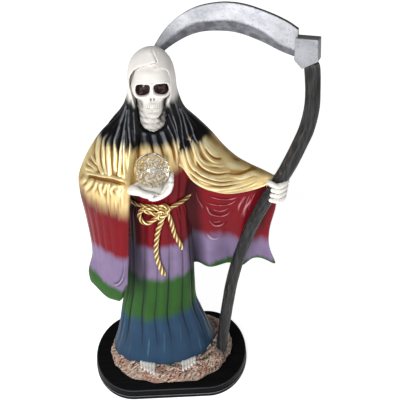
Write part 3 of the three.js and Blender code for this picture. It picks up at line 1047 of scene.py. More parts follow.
# Folds that radiate from the neck over the chest and both shoulders.
CHEST_FOLDS = (
    Fold(((-23, 322), (-25, 316), (-29, 307), (-33.3, 296.8), (-36.1, 290.8), (-37, 279), (-37.6, 272),
          (-37.2, 266.8)), 1.4, 1.3, (0.06, 0.1)),
    Fold(((-22, 321), (-24.8, 309), (-27.5, 298.3), (-30.9, 285.9), (-31.8, 280), (-33.9, 268),
          (-34, 264.9)), 1.2, 1.3, (0.06, 0.1)),
    Fold(((-20.5, 322), (-22.2, 306), (-21.9, 297.2), (-21.5, 290.8), (-22.8, 281.8), (-25.1, 262.5)),
          1.4, 1.4, (0.06, 0.1)),
    Fold(((-26, 304), (-27.4, 292), (-28.2, 287.1), (-28.9, 274.2), (-27.7, 263.4)), 1.2, 1.0, (0.1, 0.1)),
    Fold(((-17, 320), (-17.2, 310.6), (-17.3, 300.8), (-17.5, 290), (-18, 279.4), (-19, 264)),
          1.1, 0.9, (0.06, 0.1)),
    Fold(((-44, 297.5), (-48.6, 291.6), (-51.2, 286.8), (-53.5, 278.5), (-52.8, 269.4), (-48.3, 262.6)),
          1.7, 1.5, (0.5, 0.05)),
    Fold(((-37.5, 300), (-42.8, 293), (-46.9, 287.1), (-48.1, 277.7), (-47.7, 270), (-45.3, 263.8)),
          1.4, 1.4, (0.45, 0.05)),
    Fold(((-35, 300), (-39.5, 293), (-42.7, 286.9), (-43.6, 278.7), (-43.3, 269.3), (-43.1, 263.2)),
          1.8, 1.4, (0.45, 0.05)),
    Fold(((-60.4, 274), (-57.6, 270.6), (-52.5, 268)), 1.2, 1.2, (0.3, 0.3)),
    Fold(((-64.6, 266), (-60.2, 266.2), (-54, 264.4)), 1.2, 1.2, (0.3, 0.3)),
    Fold(((-67.6, 260.4), (-62, 262.2), (-55.4, 263)), 1.1, 1.0, (0.3, 0.3)),
    Fold(((-13.8, 312), (-12.7, 307.1), (-14.4, 293), (-16.5, 279.9), (-17.5, 266)), 1.2, -1.2),
    Fold(((-5, 301), (-3.4, 290.4), (-1.7, 281.3), (0, 262)), 0.8, -1.2, (0.1, 0.5)),
    Fold(((3.5, 300), (4.3, 290.2), (6.2, 280.4), (9, 262)), 0.8, -1.2, (0.1, 0.5)),
    Fold(((9.5, 302), (14.2, 287.4), (16.5, 279.2), (17, 262)), 1.0, -1.2, (0.1, 0.4)),
    Fold(((-9, 302), (-8.6, 290), (-8.4, 276), (-9, 262)), 4.0, 0.8, (0.05, 0.4)),
    Fold(((-1, 300), (0.6, 290), (2.4, 276), (4, 262)), 3.6, 0.8, (0.05, 0.4)),
    Fold(((6.6, 301), (9.2, 290), (11.4, 279), (13, 264)), 3.4, 0.8, (0.05, 0.4)),
    Fold(((11, 310), (12.6, 304), (16.3, 293.4), (18.5, 282.3), (20, 268), (20.9, 256.8)),
          1.1, 1.0, (0.06, 0.2)),
    Fold(((13, 318), (15.5, 309), (19.6, 294.2), (21.6, 281.3), (24.2, 269.5)), 1.0, 0.9, (0.06, 0.2)),
    Fold(((14.5, 326), (17, 314), (19.4, 304), (21, 292.7), (23.7, 277.8)), 0.9, 0.9, (0.06, 0.2)),
    Fold(((19.6, 325), (22, 314), (24.2, 304), (24.9, 294.6), (26.4, 283.4), (28.6, 276.6)),
          0.9, 0.9, (0.06, 0.2)),
    Fold(((22, 318), (25, 311), (27.8, 300.9), (29.8, 291.3), (33.7, 281.4), (36.3, 271.9), (36.2, 260.5)),
          1.1, 1.0, (0.06, 0.2)),
    Fold(((24, 316), (28, 309), (31.8, 300.4), (34.4, 292.6), (37.9, 283.8), (42.7, 278.8)),
          1.2, 0.8, (0.06, 0.3)),
)

# Robe from the hem to the crown of the hood: height, centre x and y, half width, half depth.
ROBE = (
    (HEM, -6, 2, HEM_HALF_WIDTH, HEM_HALF_DEPTH),
    (HEM + 6, -6, 2, HEM_HALF_WIDTH - 1, HEM_HALF_DEPTH - 1),
    (45, -6, 1.5, 48.5, 35.5), (62, -6.3, 1, 43.8, 33), (86, -7.4, 0.5, 37.6, 30.5), (110, -5, 0, 34.5, 29),
    (150, -2.5, 0, 32.5, 28), (205, -0.5, -1, 31.5, 27.5), (WAIST, 0, -1.5, 29.5, 26.5),
    (232, 0, -1.5, 33, 28), (255, 0, -1.5, 37, 29), (275, -1.5, -1, 43, 29), (288, -2.5, 0, 45, 28.5),
    (298, -2, 0, 39, 27), (308, -1.5, -1, 31, 26), (318, -0.5, -2, 26, 25.2), (332, 0, -2, 22.6, 25.6),
    (346, 0, -2, 21.8, 26.2), (357, 0, -2, 19.4, 24), (365, 0.3, -2, 14.2, 17.6), (370.8, 1, -2, 6, 7),
    (HOOD_TOP, 1, -2, 0, 0),
)

# Valleys between the long folds: angle round the robe in degrees, and the count of folds up to there.
FOLDS = (
    (-180, -11), (-150, -9), (-120, -7.2), (-90, -5.4), (-57, -3), (-29, -2), (-6.5, -1), (13, 0), (39, 1),
    (62, 2), (90, 3.6), (120, 5.2), (150, 6.8), (180, 8),
)


@dataclass
class Robe:
    """The robe and its hood, one body from the hem to the crown."""

    columns: int = 290
    rows: int = 315
    # y of the bottom of the hood's opening.
    recess: float = -7.0
    # Share of the rows of cells up to a height.
    share_to_height: tuple[Row, ...] = (
        (0, HEM - 2), (0.16, 100), (0.34, 205), (0.5, 262), (0.66, 306), (0.8, 338), (0.88, 355),
        (0.94, 365.4), (0.975, 370.6), (1, HOOD_TOP),
    )
    # Opening of the hood seen from the front, from the hook over the brow round the viewer's left.
    opening: tuple[Row, ...] = (
        (6.2, 365.2), (4.0, 365.3), (-3.4, 364.2), (-9.9, 361.8), (-14.6, 358), (-18.1, 352.2),
        (-19.8, 346.5), (-20.1, 341), (-19, 336.5), (-17.6, 331.5), (-16.2, 326.8), (-15, 322.3),
        (-14.6, 316), (-14.2, 310.4), (-12.4, 305.8), (-8.6, 302.2), (-0.4, 300), (8, 302.2), (11.6, 306.4),
        (13, 311.4), (12.4, 318), (12, 324), (13.8, 329), (15.8, 331.5), (16.6, 335), (16.7, 344),
        (16.3, 350), (15.4, 355.6), (13.7, 358), (9.8, 360.2), (6.5, 360.6), (3.9, 361.6), (5.6, 363.0),
    )
    # Crease that runs down from the tip of the hood into the hook.
    crease: tuple[Row, ...] = ((2.2, 371.9), (4.6, 369.4), (6.3, 366.6), (6.8, 364), (5.6, 362.4))

    @staticmethod
    def fold_count(angle: Array, z: Array) -> Array:
        """Count of long folds up to an angle."""
        turned = np.degrees(np.arctan2(np.sin(angle), np.cos(angle)))
        return along(FOLDS, turned)[0] + 0.1 * np.sin(2 * angle + z / 45)

    @staticmethod
    def fold_depth(z: Array) -> Array:
        """Depth of the long folds: most over the skirt, less at the hem and chest, none on the hood.

        Args:
            z: Heights.

        Returns:
            The depth in millimetres.
        """
        upper = ramp(z, 60, 200)
        depth = 2.4 * (1 - upper) * mix(0.3, 1, ramp(z, 30, 75))
        return depth + 1.5 * upper * (1 - ramp(z, 296, 318)) - 0.7 * bell(z, WAIST, 8)

    def surface(self, angle: Array, z: Array) -> tuple[Array, Array, Array]:
        """Plan of the robe's surface.

        Args:
            angle: Angles round the robe, 0 in front, towards the viewer's right.
            z: Heights.

        Returns:
            x, y and how the surface takes paint.
        """
        cx, cy, a, b = along(ROBE, z)
        count = self.fold_count(angle, z)
        depth = self.fold_depth(z)
        # Long folds with a slow wave across them, finer ones over the back of the cape, tucks below the belt.
        out = depth * pleat(TAU * count + math.pi)
        out += depth * 0.35 * np.sin(5 * angle + z / 38)
        away = 1 - ramp(np.cos(angle), 0.1, 0.5)
        cape = ramp(z, 228, 250) * (1 - ramp(z, 312, 336))
        out += 1.0 * cape * away * pleat(TAU * (2.35 * count + 0.22 * np.sin(z / 13 + 4 * angle)))
        tucks = bell(z, 209, 8) * (1 - away)
        out += 0.8 * tucks * pleat(TAU * (3 * count + z / 40))
        shrink = np.minimum(a / 8, 1)
        x = cx + (a + out * shrink) * np.sin(angle)
        height, brush_and_painted_light = carved(CHEST_FOLDS, x, z)
        out = (out + height * (1 - away)) * shrink
        # Dark lines of painted shade in the valleys of the skirt, pale strokes of painted highlight on its
        # crowns near the hem.
        valley = 1 - ramp(np.abs(np.sin(math.pi * count)), 0.02, 0.42)
        vary = 0.75 + 0.25 * np.sin(3.7 * count + z / 60)
        line = mix(0.6, 0.3, ramp(z, 130, 175)) * (1 - ramp(z, 208, 230)) * ramp(z, 40, 90)
        brush_and_painted_light = brush_and_painted_light * (1 - away) - vary * valley * line
        crown = 1 - ramp(np.abs(np.cos(math.pi * (count + 0.12 * np.sin(z / 17)))), 0.0, 0.4)
        brush_and_painted_light += 1.3 * crown * bell(z, 52, 24) * (0.4 + 0.6 * np.sin(2.3 * count + z / 21) ** 2)
        return cx + (a + out) * np.sin(angle), cy - (b + out) * np.cos(angle), brush_and_painted_light

    def bend(self, u: Array, v: Array) -> Bent:
        """Bends the grid into the robe and sinks the opening of the hood.

        Args:
            u: Shares round the body, from 0 to 1.
            v: Shares along it.

        Returns:
            The bent points and their paint values.
        """
        turn = TAU * (u - 0.5)
        angle = turn - 0.48 * np.sin(turn)
        z = along(self.share_to_height, v)[0]
        z = np.where(v >= 1 - AT_END, HOOD_TOP, z)
        x, y, brush_and_painted_light = self.surface(angle, z)
        # The opening sinks inside a raised rim.
        front = (z > 296) & (np.cos(angle) > 0) & (y < -3)
        reach = distance_to([*self.opening, self.opening[0]], x, z)
        within = np.where(inside(self.opening, x, z), reach, -reach)
        rim = bell(within, -1.3, 1.3) * ramp(z, 318, 334) * 0.8
        sunk = ramp(within, -0.2, 1.0)
        y = np.where(front, mix(y - rim, np.maximum(self.recess, y), sunk), y)
        # The crease is cut beside a lap of cloth.
        seam = distance_to(self.crease, x, z)
        over = ramp(-x, -7, -5) * bell(seam, 1.2, 2.6)
        high = (z > 358) & front
        cut = bell(seam, 0, 0.55) * (1 - 0.7 * ramp(z, 364, 371))
        y = np.where(high, y - 0.8 * over + 1.5 * cut, y)
        z = np.where(high, z + 0.4 * over - 0.6 * cut, z)
        # Painted shade just inside the edge of the opening round the neck.
        brush_and_painted_light = brush_and_painted_light - np.where(front, 1.4 * bell(within, 0.6, 1.6) * (1 - ramp(z, 314, 322)), 0)
        # Shade under both arms, on one side of the long folds and beside the face.
        left = (1 - ramp(x, -24, -12)) * ramp(np.cos(angle), -0.3, 0.1)
        flank = np.maximum(left, ramp(x, 20, 29) * ramp(np.cos(angle), -0.2, 0.2))
        flank = flank * ramp(z, 92, 140) * (1 - ramp(z, 225, 250))
        side = np.sin(TAU * self.fold_count(angle, z) + 0.9)
        shade = 0.85 * flank + 0.2 * ramp(side, 0.1, 1) * (1 - ramp(z, 200, 225)) * ramp(z, 30, 60)
        shade += 0.08 * ramp(x, 8, 22) * ramp(z, 318, 330)
        shade += np.where(front & (z > 314), 0.55 * ramp(within, 0.3, 1.2) * (1 - ramp(x, -6, 0)), 0)
        brush_and_painted_light = brush_and_painted_light * (1 - flank)
        return x, y, z, {"brush_and_painted_light": brush_and_painted_light, "shade": np.clip(shade, 0, 0.8)}

    def build(self, paint: Material) -> None:
        """Builds the robe in its paint."""
        piece = cast_piece("robe", paint, Wash(30, 0.5))
        piece.place(bend_grid(self.columns, self.rows, self.bend))


@dataclass(frozen=True)
class Lump:
    """A soft swelling of the face, alike on both sides, or a hollow where its height is below zero.

    It is given by its height, the middle and width of its bell aside of the nose, and those up the face.
    """

    high: float
    aside: float
    aside_width: float
    level: float
    level_width: float

    def at(self, side: Array, z: Array) -> Array:
        """Its height at points, given how far they are from the middle of the face."""
        return self.high * bell(side, self.aside, self.aside_width) * bell(z, self.level, self.level_width)


@dataclass
class Head:
    """Skull and neck inside the hood."""

    socket_height: float = 342.2
    socket_reach: float = 8.2
    # x of the middle of the face, height of the line between the teeth, and width of a tooth.
    middle: float = 0.7
    bite: float = 325.8
    tooth: float = 1.8
    # Height of one bone of the neck.
    bone: float = 5.2
    # Height, half width and y of the front of the skull.
    outline: tuple[Row, ...] = (
        (313.8, 2, -24.5), (314.6, 4.2, -27.4), (316.6, 6.4, -28.8), (319.8, 8.6, -29.2),
        (325.9, 10.4, -28.6), (329.6, 11.6, -27.8), (331.8, 14.8, -26.8), (334.5, 17.2, -26.2),
        (341, 18.2, -26), (346, 17.6, -26.2), (352, 16.2, -25.6), (358, 13.8, -23), (363, 9.5, -17),
    )
    # Brows, nostrils, cheekbones, the hollows below them, upper jaw, chin and temples.
    lumps: tuple[Lump, ...] = (
        Lump(0.8, 8, 6, 351.2, 2.4), Lump(-1.5, 1.3, 0.8, 333.4, 1.1), Lump(1.9, 11.5, 4, 336.8, 2.4),
        Lump(-3.2, 11.5, 3, 328.5, 3.4), Lump(1.2, 0, 6.5, 328, 4.5), Lump(1.1, 0, 4, 318, 2.4),
        Lump(-0.8, 15.5, 3, 350, 5),
    )
    # Painted shade on the chin, in the nostrils and under the nose.
    wash: tuple[Lump, ...] = (
        Lump(0.3, 0, 7, 320.6, 1.2), Lump(0.6, 1.3, 0.9, 333.4, 1.2), Lump(0.3, 0, 4, 331.2, 1.2),
    )

    def bend_skull(self, u: Array, v: Array) -> Bent:
        """Bends the grid into the skull.

        Args:
            u: Shares round the body, from 0 to 1.
            v: Shares along it.

        Returns:
            The bent points and their paint values.
        """
        turn = TAU * (u - 0.5)
        angle = turn - 0.45 * np.sin(turn)
        z = mix(self.outline[0][0], self.outline[-1][0], v)
        half, front = along(self.outline, z)
        centre = mix(0.8, -0.4, ramp(z, 315, 327)) + 0.5 * ramp(z, 329, 335) + 1.4 * ramp(z, 341, 350)
        power = mix(0.55, 0.78, ramp(z, 324, 334))
        x = centre + half * fuller(np.sin(angle), power)
        y = mix(4, front, (1 + fuller(np.cos(angle), power)) / 2)
        facing = ramp(np.cos(angle), 0.0, 0.35)
        # Eye sockets, squarish and tilted.
        axis = np.maximum(centre, self.middle)
        side = np.abs(x - axis)
        apart = side - self.socket_reach - 0.12 * (self.socket_height - z)
        tilt = np.where(x > axis, 0.1 * apart, 0.04 * apart)
        pit = (np.abs(apart) / 6.7) ** 3 + (np.abs(z - self.socket_height + tilt) / 6) ** 3
        pit = pit ** (1 / 3)
        eye = 1 - ramp(pit, 0.84, 1.04)
        brow_ridge = 0.6 * bell(pit, 1.2, 0.14)
        nose_bone = 1.3 * bell(side, 0, 2.2) * ramp(z, 334, 338) * (1 - ramp(z, 342, 354))
        bulge = brow_ridge + nose_bone + sum(lump.at(side, z) for lump in self.lumps)
        # Two rows of teeth.
        from_bite = np.abs(z - self.bite)
        mouth = (1 - ramp(side, 6.4, 8.2)) * (1 - ramp(from_bite, 3.2, 4.2))
        teeth = np.abs(np.cos((x - axis) * math.pi / self.tooth)) ** 0.4 - 0.75
        bulge += mouth * (0.6 * teeth - 0.5 * bell(z, self.bite, 0.35))
        bulge -= 0.5 * bell(side, 0, 8) * bell(from_bite, 4.4, 0.6)
        y = y - facing * (bulge - (5.4 - 2.0 * bell(pit, 0, 0.6)) * eye)
        # Dark gaps between the teeth, and painted shade under the cheekbones, on the lower face, under the
        # jaw and chin and round the nose.
        gaps = mouth * np.maximum(ramp(-teeth, -0.1, 0.5), 0.6 * bell(z, self.bite, 0.5)) * 0.7
        chin, nostrils, under_nose = (lump.at(side, z) for lump in self.wash)
        cheek = 0.7 * ramp(side, 7.4, 10) * (1 - ramp(z, 331, 334)) * ramp(z, 322, 327)
        cheek += 0.2 * (1 - ramp(z, 326, 332)) + 0.5 * (1 - ramp(z, 313.5, 316)) + chin
        shade_and_wash = np.clip(np.maximum(gaps, cheek) + nostrils + under_nose, 0, 1)
        return x, y, z, {"stain": eye * facing, "shade_and_wash": shade_and_wash * facing}

    def bend_neck(self, u: Array, v: Array) -> Bent:
        """Bends the grid into the stacked bones of the neck.

        Args:
            u: Shares round the body, from 0 to 1.
            v: Shares along it.

        Returns:
            The bent points and their paint values.
        """
        angle = TAU * (u - 0.5)
        z = mix(294, 332, v)
        ring = np.abs(np.sin(z * math.pi / self.bone))
        knobs = 0.7 * np.sin(angle * 5 + np.floor(z / self.bone) * 1.9) * ring
        knobs += 0.3 * np.sin(angle * 13 + z)
        radius = (NECK_RADIUS + 0.6) * mix(0.82, 1, ramp(z, 293, 300)) + 0.45 * ring + knobs * 0.6
        hollow = bell(angle, 0.75, 0.22) * bell(z, 311.5, 3.4)
        radius = radius - 2.4 * hollow
        jaw = 313.5 + 0.09 * (radius * np.sin(angle) - 4) ** 2
        # Wash between the bones and painted shade: darker overall, at the foot, under the jaw and in the
        # hollow, lighter on the lit front of each ring.
        shade_and_wash = 0.54 + 0.25 * (1 - ramp(ring, 0.1, 0.6)) + 0.5 * (1 - ramp(z, 296, 301))
        shade_and_wash = (shade_and_wash + 0.9 * bell(z, jaw, 2.2) + 0.7 * hollow) * (1 - 0.5 * bell(angle, -0.3, 0.5) * ring)
        y = mix(-12, -9, ramp(z, 300, 316)) - radius * np.cos(angle)
        return radius * np.sin(angle) - 1, y, z, {"stain": 0 * z, "shade_and_wash": np.clip(shade_and_wash, 0, 1)}

    def build(self, paint: Material) -> None:
        """Builds the skull and the neck in bone paint."""
        cast_piece("skull", paint, Wash(16, 0.3)).place(bend_grid(210, 175, self.bend_skull))
        cast_piece("neck_bones", paint, Wash(16, 0.35)).place(bend_grid(140, 110, self.bend_neck))


# Right sleeve, up from the hem: share of its height, outer x and y, inner x and y, thickness.
RIGHT_SLEEVE = (
    (0, -74.5, -20, -36, -42, 10), (0.08, -75, -18, -35, -43, 13), (0.2, -69, -15, -33, -44, 17),
    (0.42, -71, -12, -30, -44, 20), (0.58, -74, -8, -28, -45, 24), (0.67, -73, -6, -26, -47, 27),
    (0.75, -68.5, -3, -24, -43, 27), (0.84, -59.5, 0, -20, -34, 26), (0.92, -48, 3, -15, -27, 24),
    (1, -33, 4, -10, -20, 20),
)


@dataclass
class RightSleeve:
    """The sleeve to the viewer's left, gathered over the forearm."""

    top: float = 304.0
    # Share of its height over which the hem rounds off.
    hem_round: float = 0.02
    folds: tuple[Fold, ...] = (
        Fold(((-66, 258), (-58, 260.2), (-51.8, 261.4), (-41.7, 263), (-31, 262.6), (-23, 260)),
              1.0, 1.5, (0.1, 0.2)),
        Fold(((-64, 256.4), (-58, 257.8), (-51.8, 258.7), (-41.7, 259.7), (-31, 258.9), (-24, 256.4)),
              1.6, -1.7, (0.1, 0.2)),
        Fold(((-66, 254.8), (-69, 250.6), (-73.5, 245.5)), 1.3, 1.3, (0.1, 0.4)),
        Fold(((-60.3, 255.8), (-64, 249), (-69.7, 240.1), (-70.5, 233)), 1.5, 1.5, (0.05, 0.5)),
        Fold(((-55.4, 256), (-57.6, 250), (-60.8, 243), (-64.4, 224)), 1.0, 1.1, (0.05, 0.6)),
        Fold(((-52.3, 255.6), (-52.2, 250), (-51.1, 244), (-52.4, 236)), 1.5, 1.5, (0.05, 0.5)),
        Fold(((-46.4, 256.4), (-48.4, 251), (-50.5, 246.1)), 1.1, 1.3, (0.05, 0.4)),
        Fold(((-44.4, 256.4), (-45.6, 243.3), (-46.5, 228.8), (-46.7, 214)), 1.0, 1.1, (0.05, 0.5)),
        Fold(((-39.3, 256.4), (-42, 252.2), (-41.1, 244.7)), 1.2, 1.4, (0.05, 0.4)),
        Fold(((-35.6, 255), (-34.6, 250.5), (-35.4, 243.5)), 2.7, 1.4, (0.2, 0.5)),
        Fold(((-38, 246), (-39.2, 229), (-39.6, 212)), 1.0, 0.9, (0.3, 0.5)),
        Fold(((-29.5, 256.6), (-31.6, 248.9), (-32.4, 232.2), (-32.8, 216)), 1.2, 1.2, (0.05, 0.6)),
        Fold(((-57.4, 240), (-57.8, 228), (-58, 214)), 1.0, 0.9, (0.3, 0.5)),
        Fold(((-35.5, 200), (-36, 180), (-36.2, 165), (-37.5, 156), (-40.5, 147), (-45, 141), (-52, 137)),
              1.0, 1.4, (0.5, 0.15)),
    )

    def bend(self, u: Array, v: Array) -> Bent:
        """Bends the grid into the sleeve; u starts at the inner edge and comes round the front.

        Args:
            u: Shares round the body, from 0 to 1.
            v: Shares along it.

        Returns:
            The bent points and their paint values.
        """
        turn = TAU * u
        share = mix(v, v ** 1.15, 0.6)
        ox, oy, ix, iy, thick = along(RIGHT_SLEEVE, share)
        length = np.hypot(ix - ox, iy - oy)
        ex, ey = (ix - ox) / length, (iy - oy) / length
        c, face = np.cos(turn), np.sin(turn)
        s = (1 + c) / 2
        low = 116 + 12 * (1 - ramp(s, 0, 0.55)) + 22 * ramp(s, 0.78, 1)
        z = mix(low, self.top, share)
        front = ramp(face, 0, 0.6)
        # Height of the forearm under the cloth.
        arm = mix(249, 260, s)
        ridge = 2.4 * bell(z, arm, 8.0) * front
        hanging = front * (1 - ramp(z, 206, 240)) * ramp(z, 130, 175)
        # Half the thickness, the forearm's ridge, hanging pleats and the carved folds.
        out = (thick / 2) * face + ridge * 0.6
        out += 0.55 * hanging * pleat(TAU * (6.2 * s + 0.15 * np.sin(z / 23)))
        x = (ox + ix) / 2 + ex * length * c / 2
        height, brush_and_painted_light = carved((*CHEST_FOLDS, *self.folds), x + ey * out, z)
        out += front * height
        # The hem rounds off below.
        edge = np.sqrt(np.clip(share / self.hem_round, 0, 1))
        out = out * mix(0.55, 1, edge) * between_ends(v)
        reach = length * c / 2 * mix(0.975, 1, edge)
        x, y = (ox + ix) / 2 + ex * reach + ey * out, (oy + iy) / 2 + ey * reach - ex * out
        shade = 0.3 * front * bell(z, 230, 11) + 0.4 * ramp(-x, 67, 74) * ramp(z, 222, 236)
        return x, y, z, {"brush_and_painted_light": brush_and_painted_light * front, "shade": shade}

    def build(self, paint: Material) -> None:
        """Builds the sleeve in its paint."""
        cast_piece("right_sleeve", paint, Wash(26, 0.5)).place(bend_grid(240, 245, self.bend))


@dataclass(frozen=True)
class ScythePlane:
    """The plane that the scythe is drawn in, turned and leaning at its foot by angles in degrees."""

    foot: Row = POLE_FOOT
    turn: float = -22.0
    lean: float = -4.4

    def matrix(self) -> Matrix:
        """From the plane, with x across and y up, to the statue's drawing."""
        stand = Matrix.Rotation(math.radians(90 + self.lean), 4, "X")
        return Matrix.Translation(self.foot) @ Matrix.Rotation(math.radians(self.turn), 4, "Z") @ stand

    def place(self, x: Array, y: Array, z: Array) -> Array:
        """x, y and z in the statue's drawing of points of the plane."""
        points = np.stack([x, y, z, np.ones_like(x)])
        return (np.array(self.matrix()) @ points)[:3]


# Gold swag of the left sleeve, out from the neck: x, top y and z, hem y and z, front and back bulge.
SWAG = (
    (12, -6, 318, -16, 268, 10, 12), (24, -2, 314, -20, 258, 12, 20), (32, 0, 305, -21, 245, 13, 22),
    (42, 0, 294.5, -22, 236.5, 12.5, 20), (53, -1, 282, -22, 231.5, 11, 17),
    (63, -3, 269, -21.5, 228.5, 9.5, 14), (75, -6, 257.5, -20, 228, 8.5, 11),
    (87, -9, 250.5, -18, 229, 7.5, 9), (98, -12, 245.5, -17, 232, 6.5, 7.5),
    (105, -15, 243, -17, 235.5, 4.6, 5), (109, -16.5, 241.5, -18, 236, 2.6, 3.4),
)


@dataclass
class LeftSleeve:
    """The sleeve to the viewer's right: a gold swag over the arm and the inner cloth hanging below it."""

    # x of both ends of the swag.
    first: float = SWAG[0][0]
    last: float = SWAG[-1][0]
    swag_folds: tuple[Fold, ...] = (
        Fold(((23, 280), (23.8, 270), (25.9, 262.9), (31.4, 251.3), (40, 243.6), (53.9, 236.8), (68, 235.5),
              (82.3, 237.7), (94.8, 243.1)), 1.7, 1.3, (0.1, 0.2)),
        Fold(((24.6, 282), (25, 275.8), (27.9, 262.5), (33.5, 254.6), (42.2, 248.4), (56.1, 241.6),
              (68.1, 239.9), (80.5, 240.6), (91.9, 244.8)), 1.5, 1.4, (0.1, 0.3)),
        Fold(((28, 284), (28.6, 276.6), (32, 264.6), (37.5, 256.6), (46.2, 250.3), (59.2, 244.4),
              (72.4, 243), (86.8, 246.2)), 1.5, 1.4, (0.1, 0.4)),
        Fold(((34.2, 288), (34.8, 282.6), (36.4, 274.6), (39.9, 265.1), (46.6, 257.7), (56.5, 252.3),
              (66.7, 251), (74.9, 252.8)), 1.6, 1.4, (0.1, 0.45)),
        Fold(((35, 285), (36.7, 279.7), (40.1, 269.7), (45.9, 263), (54.7, 258.1), (61.8, 256.7),
              (67, 257.7)), 1.3, 1.2, (0.1, 0.4)),
        Fold(((40.5, 284), (42.7, 278.8), (46.3, 271), (52, 263.9), (58.9, 260.1), (67.1, 258.5)),
              1.5, 1.2, (0.1, 0.5)),
        Fold(((44, 286), (46.2, 280.1), (50.4, 273.2), (57.2, 267.1), (64, 264.5)), 3.4, 1.3, (0.2, 0.5)),
        Fold(((31, 270), (35, 261), (41, 254.5), (50, 249.5), (62, 247), (76, 247.6)),
              1.0, 0.9, (0.2, 0.5)),
        Fold(((60, 262), (70, 255), (80, 252.6), (90, 250)), 3.0, 0.9, (0.4, 0.4)),
        Fold(((66, 247), (78, 243.6), (90, 245.6), (100, 244)), 1.9, 1.0, (0.3, 0.3)),
        Fold(((29, 258), (36, 248), (46, 241), (60, 237.6), (76, 238)), 0.8, -0.8),
        Fold(((33, 262), (38.5, 253.5), (47, 247), (60, 241.8), (74, 241.4)), 0.8, -0.9),
        Fold(((36, 268), (41, 259.5), (49, 253.6), (58, 249.6), (70, 248.8)), 0.9, -0.9),
        Fold(((40, 274), (44.4, 265.4), (51.4, 259.4), (60, 255.4)), 1.0, -0.9),
        Fold(((45, 277), (49, 269.4), (55, 264), (62, 261.4)), 1.1, -0.8),
        Fold(((70, 258.5), (80, 254), (92, 249.6), (101, 246.6)), 1.3, -0.9, (0.3, 0.3)),
        Fold(((62, 249.6), (74, 246.4), (88, 248), (99, 246)), 1.0, -0.9, (0.3, 0.3)),
        Fold(((56, 233), (70, 232.4), (84, 233.6), (97, 237.6)), 0.9, 0.8, (0.3, 0.2)),
        Fold(((60, 272), (66, 266.6), (75, 262), (86, 257)), 1.6, -0.7, (0.4, 0.4)),
    )
    curtain_folds: tuple[Fold, ...] = (
        Fold(((35, 228), (35.4, 223.6), (36.7, 217.4), (39.5, 211.1), (42, 204)), 1.1, 1.0),
        Fold(((41.6, 223), (50.7, 218.6), (58, 215.8), (66.1, 214.8), (73.3, 216.4), (76.4, 219.1)),
              1.0, 1.1, (0.3, 0.3)),
        Fold(((40, 217), (46, 212.6), (53, 209.4), (59.6, 208.1), (65.9, 208.4), (72.2, 212.2),
              (76.9, 217.7)), 0.9, 1.1, (0.3, 0.3)),
        Fold(((43.5, 213), (45.1, 206.7), (47.5, 200), (52, 196.4), (58, 194.6), (63.6, 195.4),
              (68.9, 200.8), (72, 207)), 1.2, 1.6, (0.2, 0.4)),
        Fold(((50, 206), (52.2, 203.1), (58.5, 200.9), (64, 202.6), (67, 206)), 0.9, 0.9, (0.3, 0.3)),
        Fold(((45, 195), (47.7, 188.7), (51.7, 183.2), (57.4, 182.2), (61.4, 184.6), (65, 190)),
              1.5, 1.6, (0.3, 0.4)),
        Fold(((47, 191), (51, 188), (56, 187), (61, 189.4)), 0.9, 0.8, (0.4, 0.4)),
        Fold(((43, 177), (44.6, 171.8), (48.7, 166.2), (54, 164.6), (58, 167)), 1.5, 1.2, (0.4, 0.3)),
        Fold(((84, 222), (78.4, 210.9), (75.6, 203), (74, 186)), 2.2, 0.8, (0.3, 0.5)),
        Fold(((92, 222), (86.7, 210), (81.4, 201.2), (80.3, 188), (79, 160)), 2.4, 0.9, (0.3, 0.6)),
        Fold(((99, 222), (96, 206), (94, 186), (93, 160)), 2.0, 0.7, (0.3, 0.6)),
        Fold(((89, 224), (84.5, 213), (82, 204), (81, 196)), 0.7, 0.5, (0.3, 0.4)),
        Fold(((94, 226), (89, 214), (86, 204), (85, 192)), 0.8, 0.5, (0.3, 0.4)),
        Fold(((84, 220), (80.6, 212), (78.4, 204)), 0.7, 0.5, (0.3, 0.4)),
    )

    def bend_swag(self, u: Array, v: Array) -> Bent:
        """Bends the grid into the swag; u starts at the top and comes round the front.

        Args:
            u: Shares round the body, from 0 to 1.
            v: Shares along it.

        Returns:
            The bent points and their paint values.
        """
        turn = TAU * u
        x = mix(self.first, self.last, v)
        top_y, top_z, hem_y, hem_z, front, back = along(SWAG, x)
        s = (1 - np.cos(turn)) / 2
        side = np.sin(turn)
        bulge = np.where(side > 0, front * np.abs(side) ** 0.8, back * side)
        front_face = ramp(side, 0.02, 0.35)
        hem = 1.5 * bell(s, 0.95, 0.035) * ramp(side, -0.4, 0.2)
        z = mix(top_z, hem_z, s)
        height, brush_and_painted_light = carved((*CHEST_FOLDS, *self.swag_folds), x, z)
        folds = front_face * height + hem
        # Painted shade along the top of the swag and in slanting bands, and dry-brushing and painted
        # highlight along the roll of its hem.
        shade = 0.45 * (1 - ramp(s, 0.02, 0.2)) * ramp(x, 50, 62)
        slants = ramp(np.sin(x / 4.3 + z / 6 + 1.2), 0.2, 1)
        shade += 0.2 * slants * ramp(x, 44, 60) * (1 - ramp(s, 0.75, 0.9))
        brush_and_painted_light = front_face * brush_and_painted_light + 0.8 * bell(s, 0.93, 0.05) * ramp(side, -0.1, 0.2)
        y = mix(top_y, hem_y, s) - bulge - folds
        return x, y, z - folds * 0.3, {"brush_and_painted_light": brush_and_painted_light, "shade": shade}

    @staticmethod
    def curtain_front(x: Array, z: Array) -> Array:
        """y of the front of the inner cloth, which falls in wider waves towards its hem.

        Args:
            x: First coordinates of the points.
            z: Their heights.

        Returns:
            y at the points.
        """
        fall = 1 - ramp(z, 128, 215)
        slant = 0.06 * (x - 60) * ramp(z, 140, 205) * (1 - ramp(z, 210, 234))
        hang = mix(-14.5, -3, 1 - ramp(z, 128, 226)) + slant
        return hang - 4.4 * fall * np.sin((x - 39) / 32.5 * TAU) - 0.7 * fall * np.sin(x / 2.9)

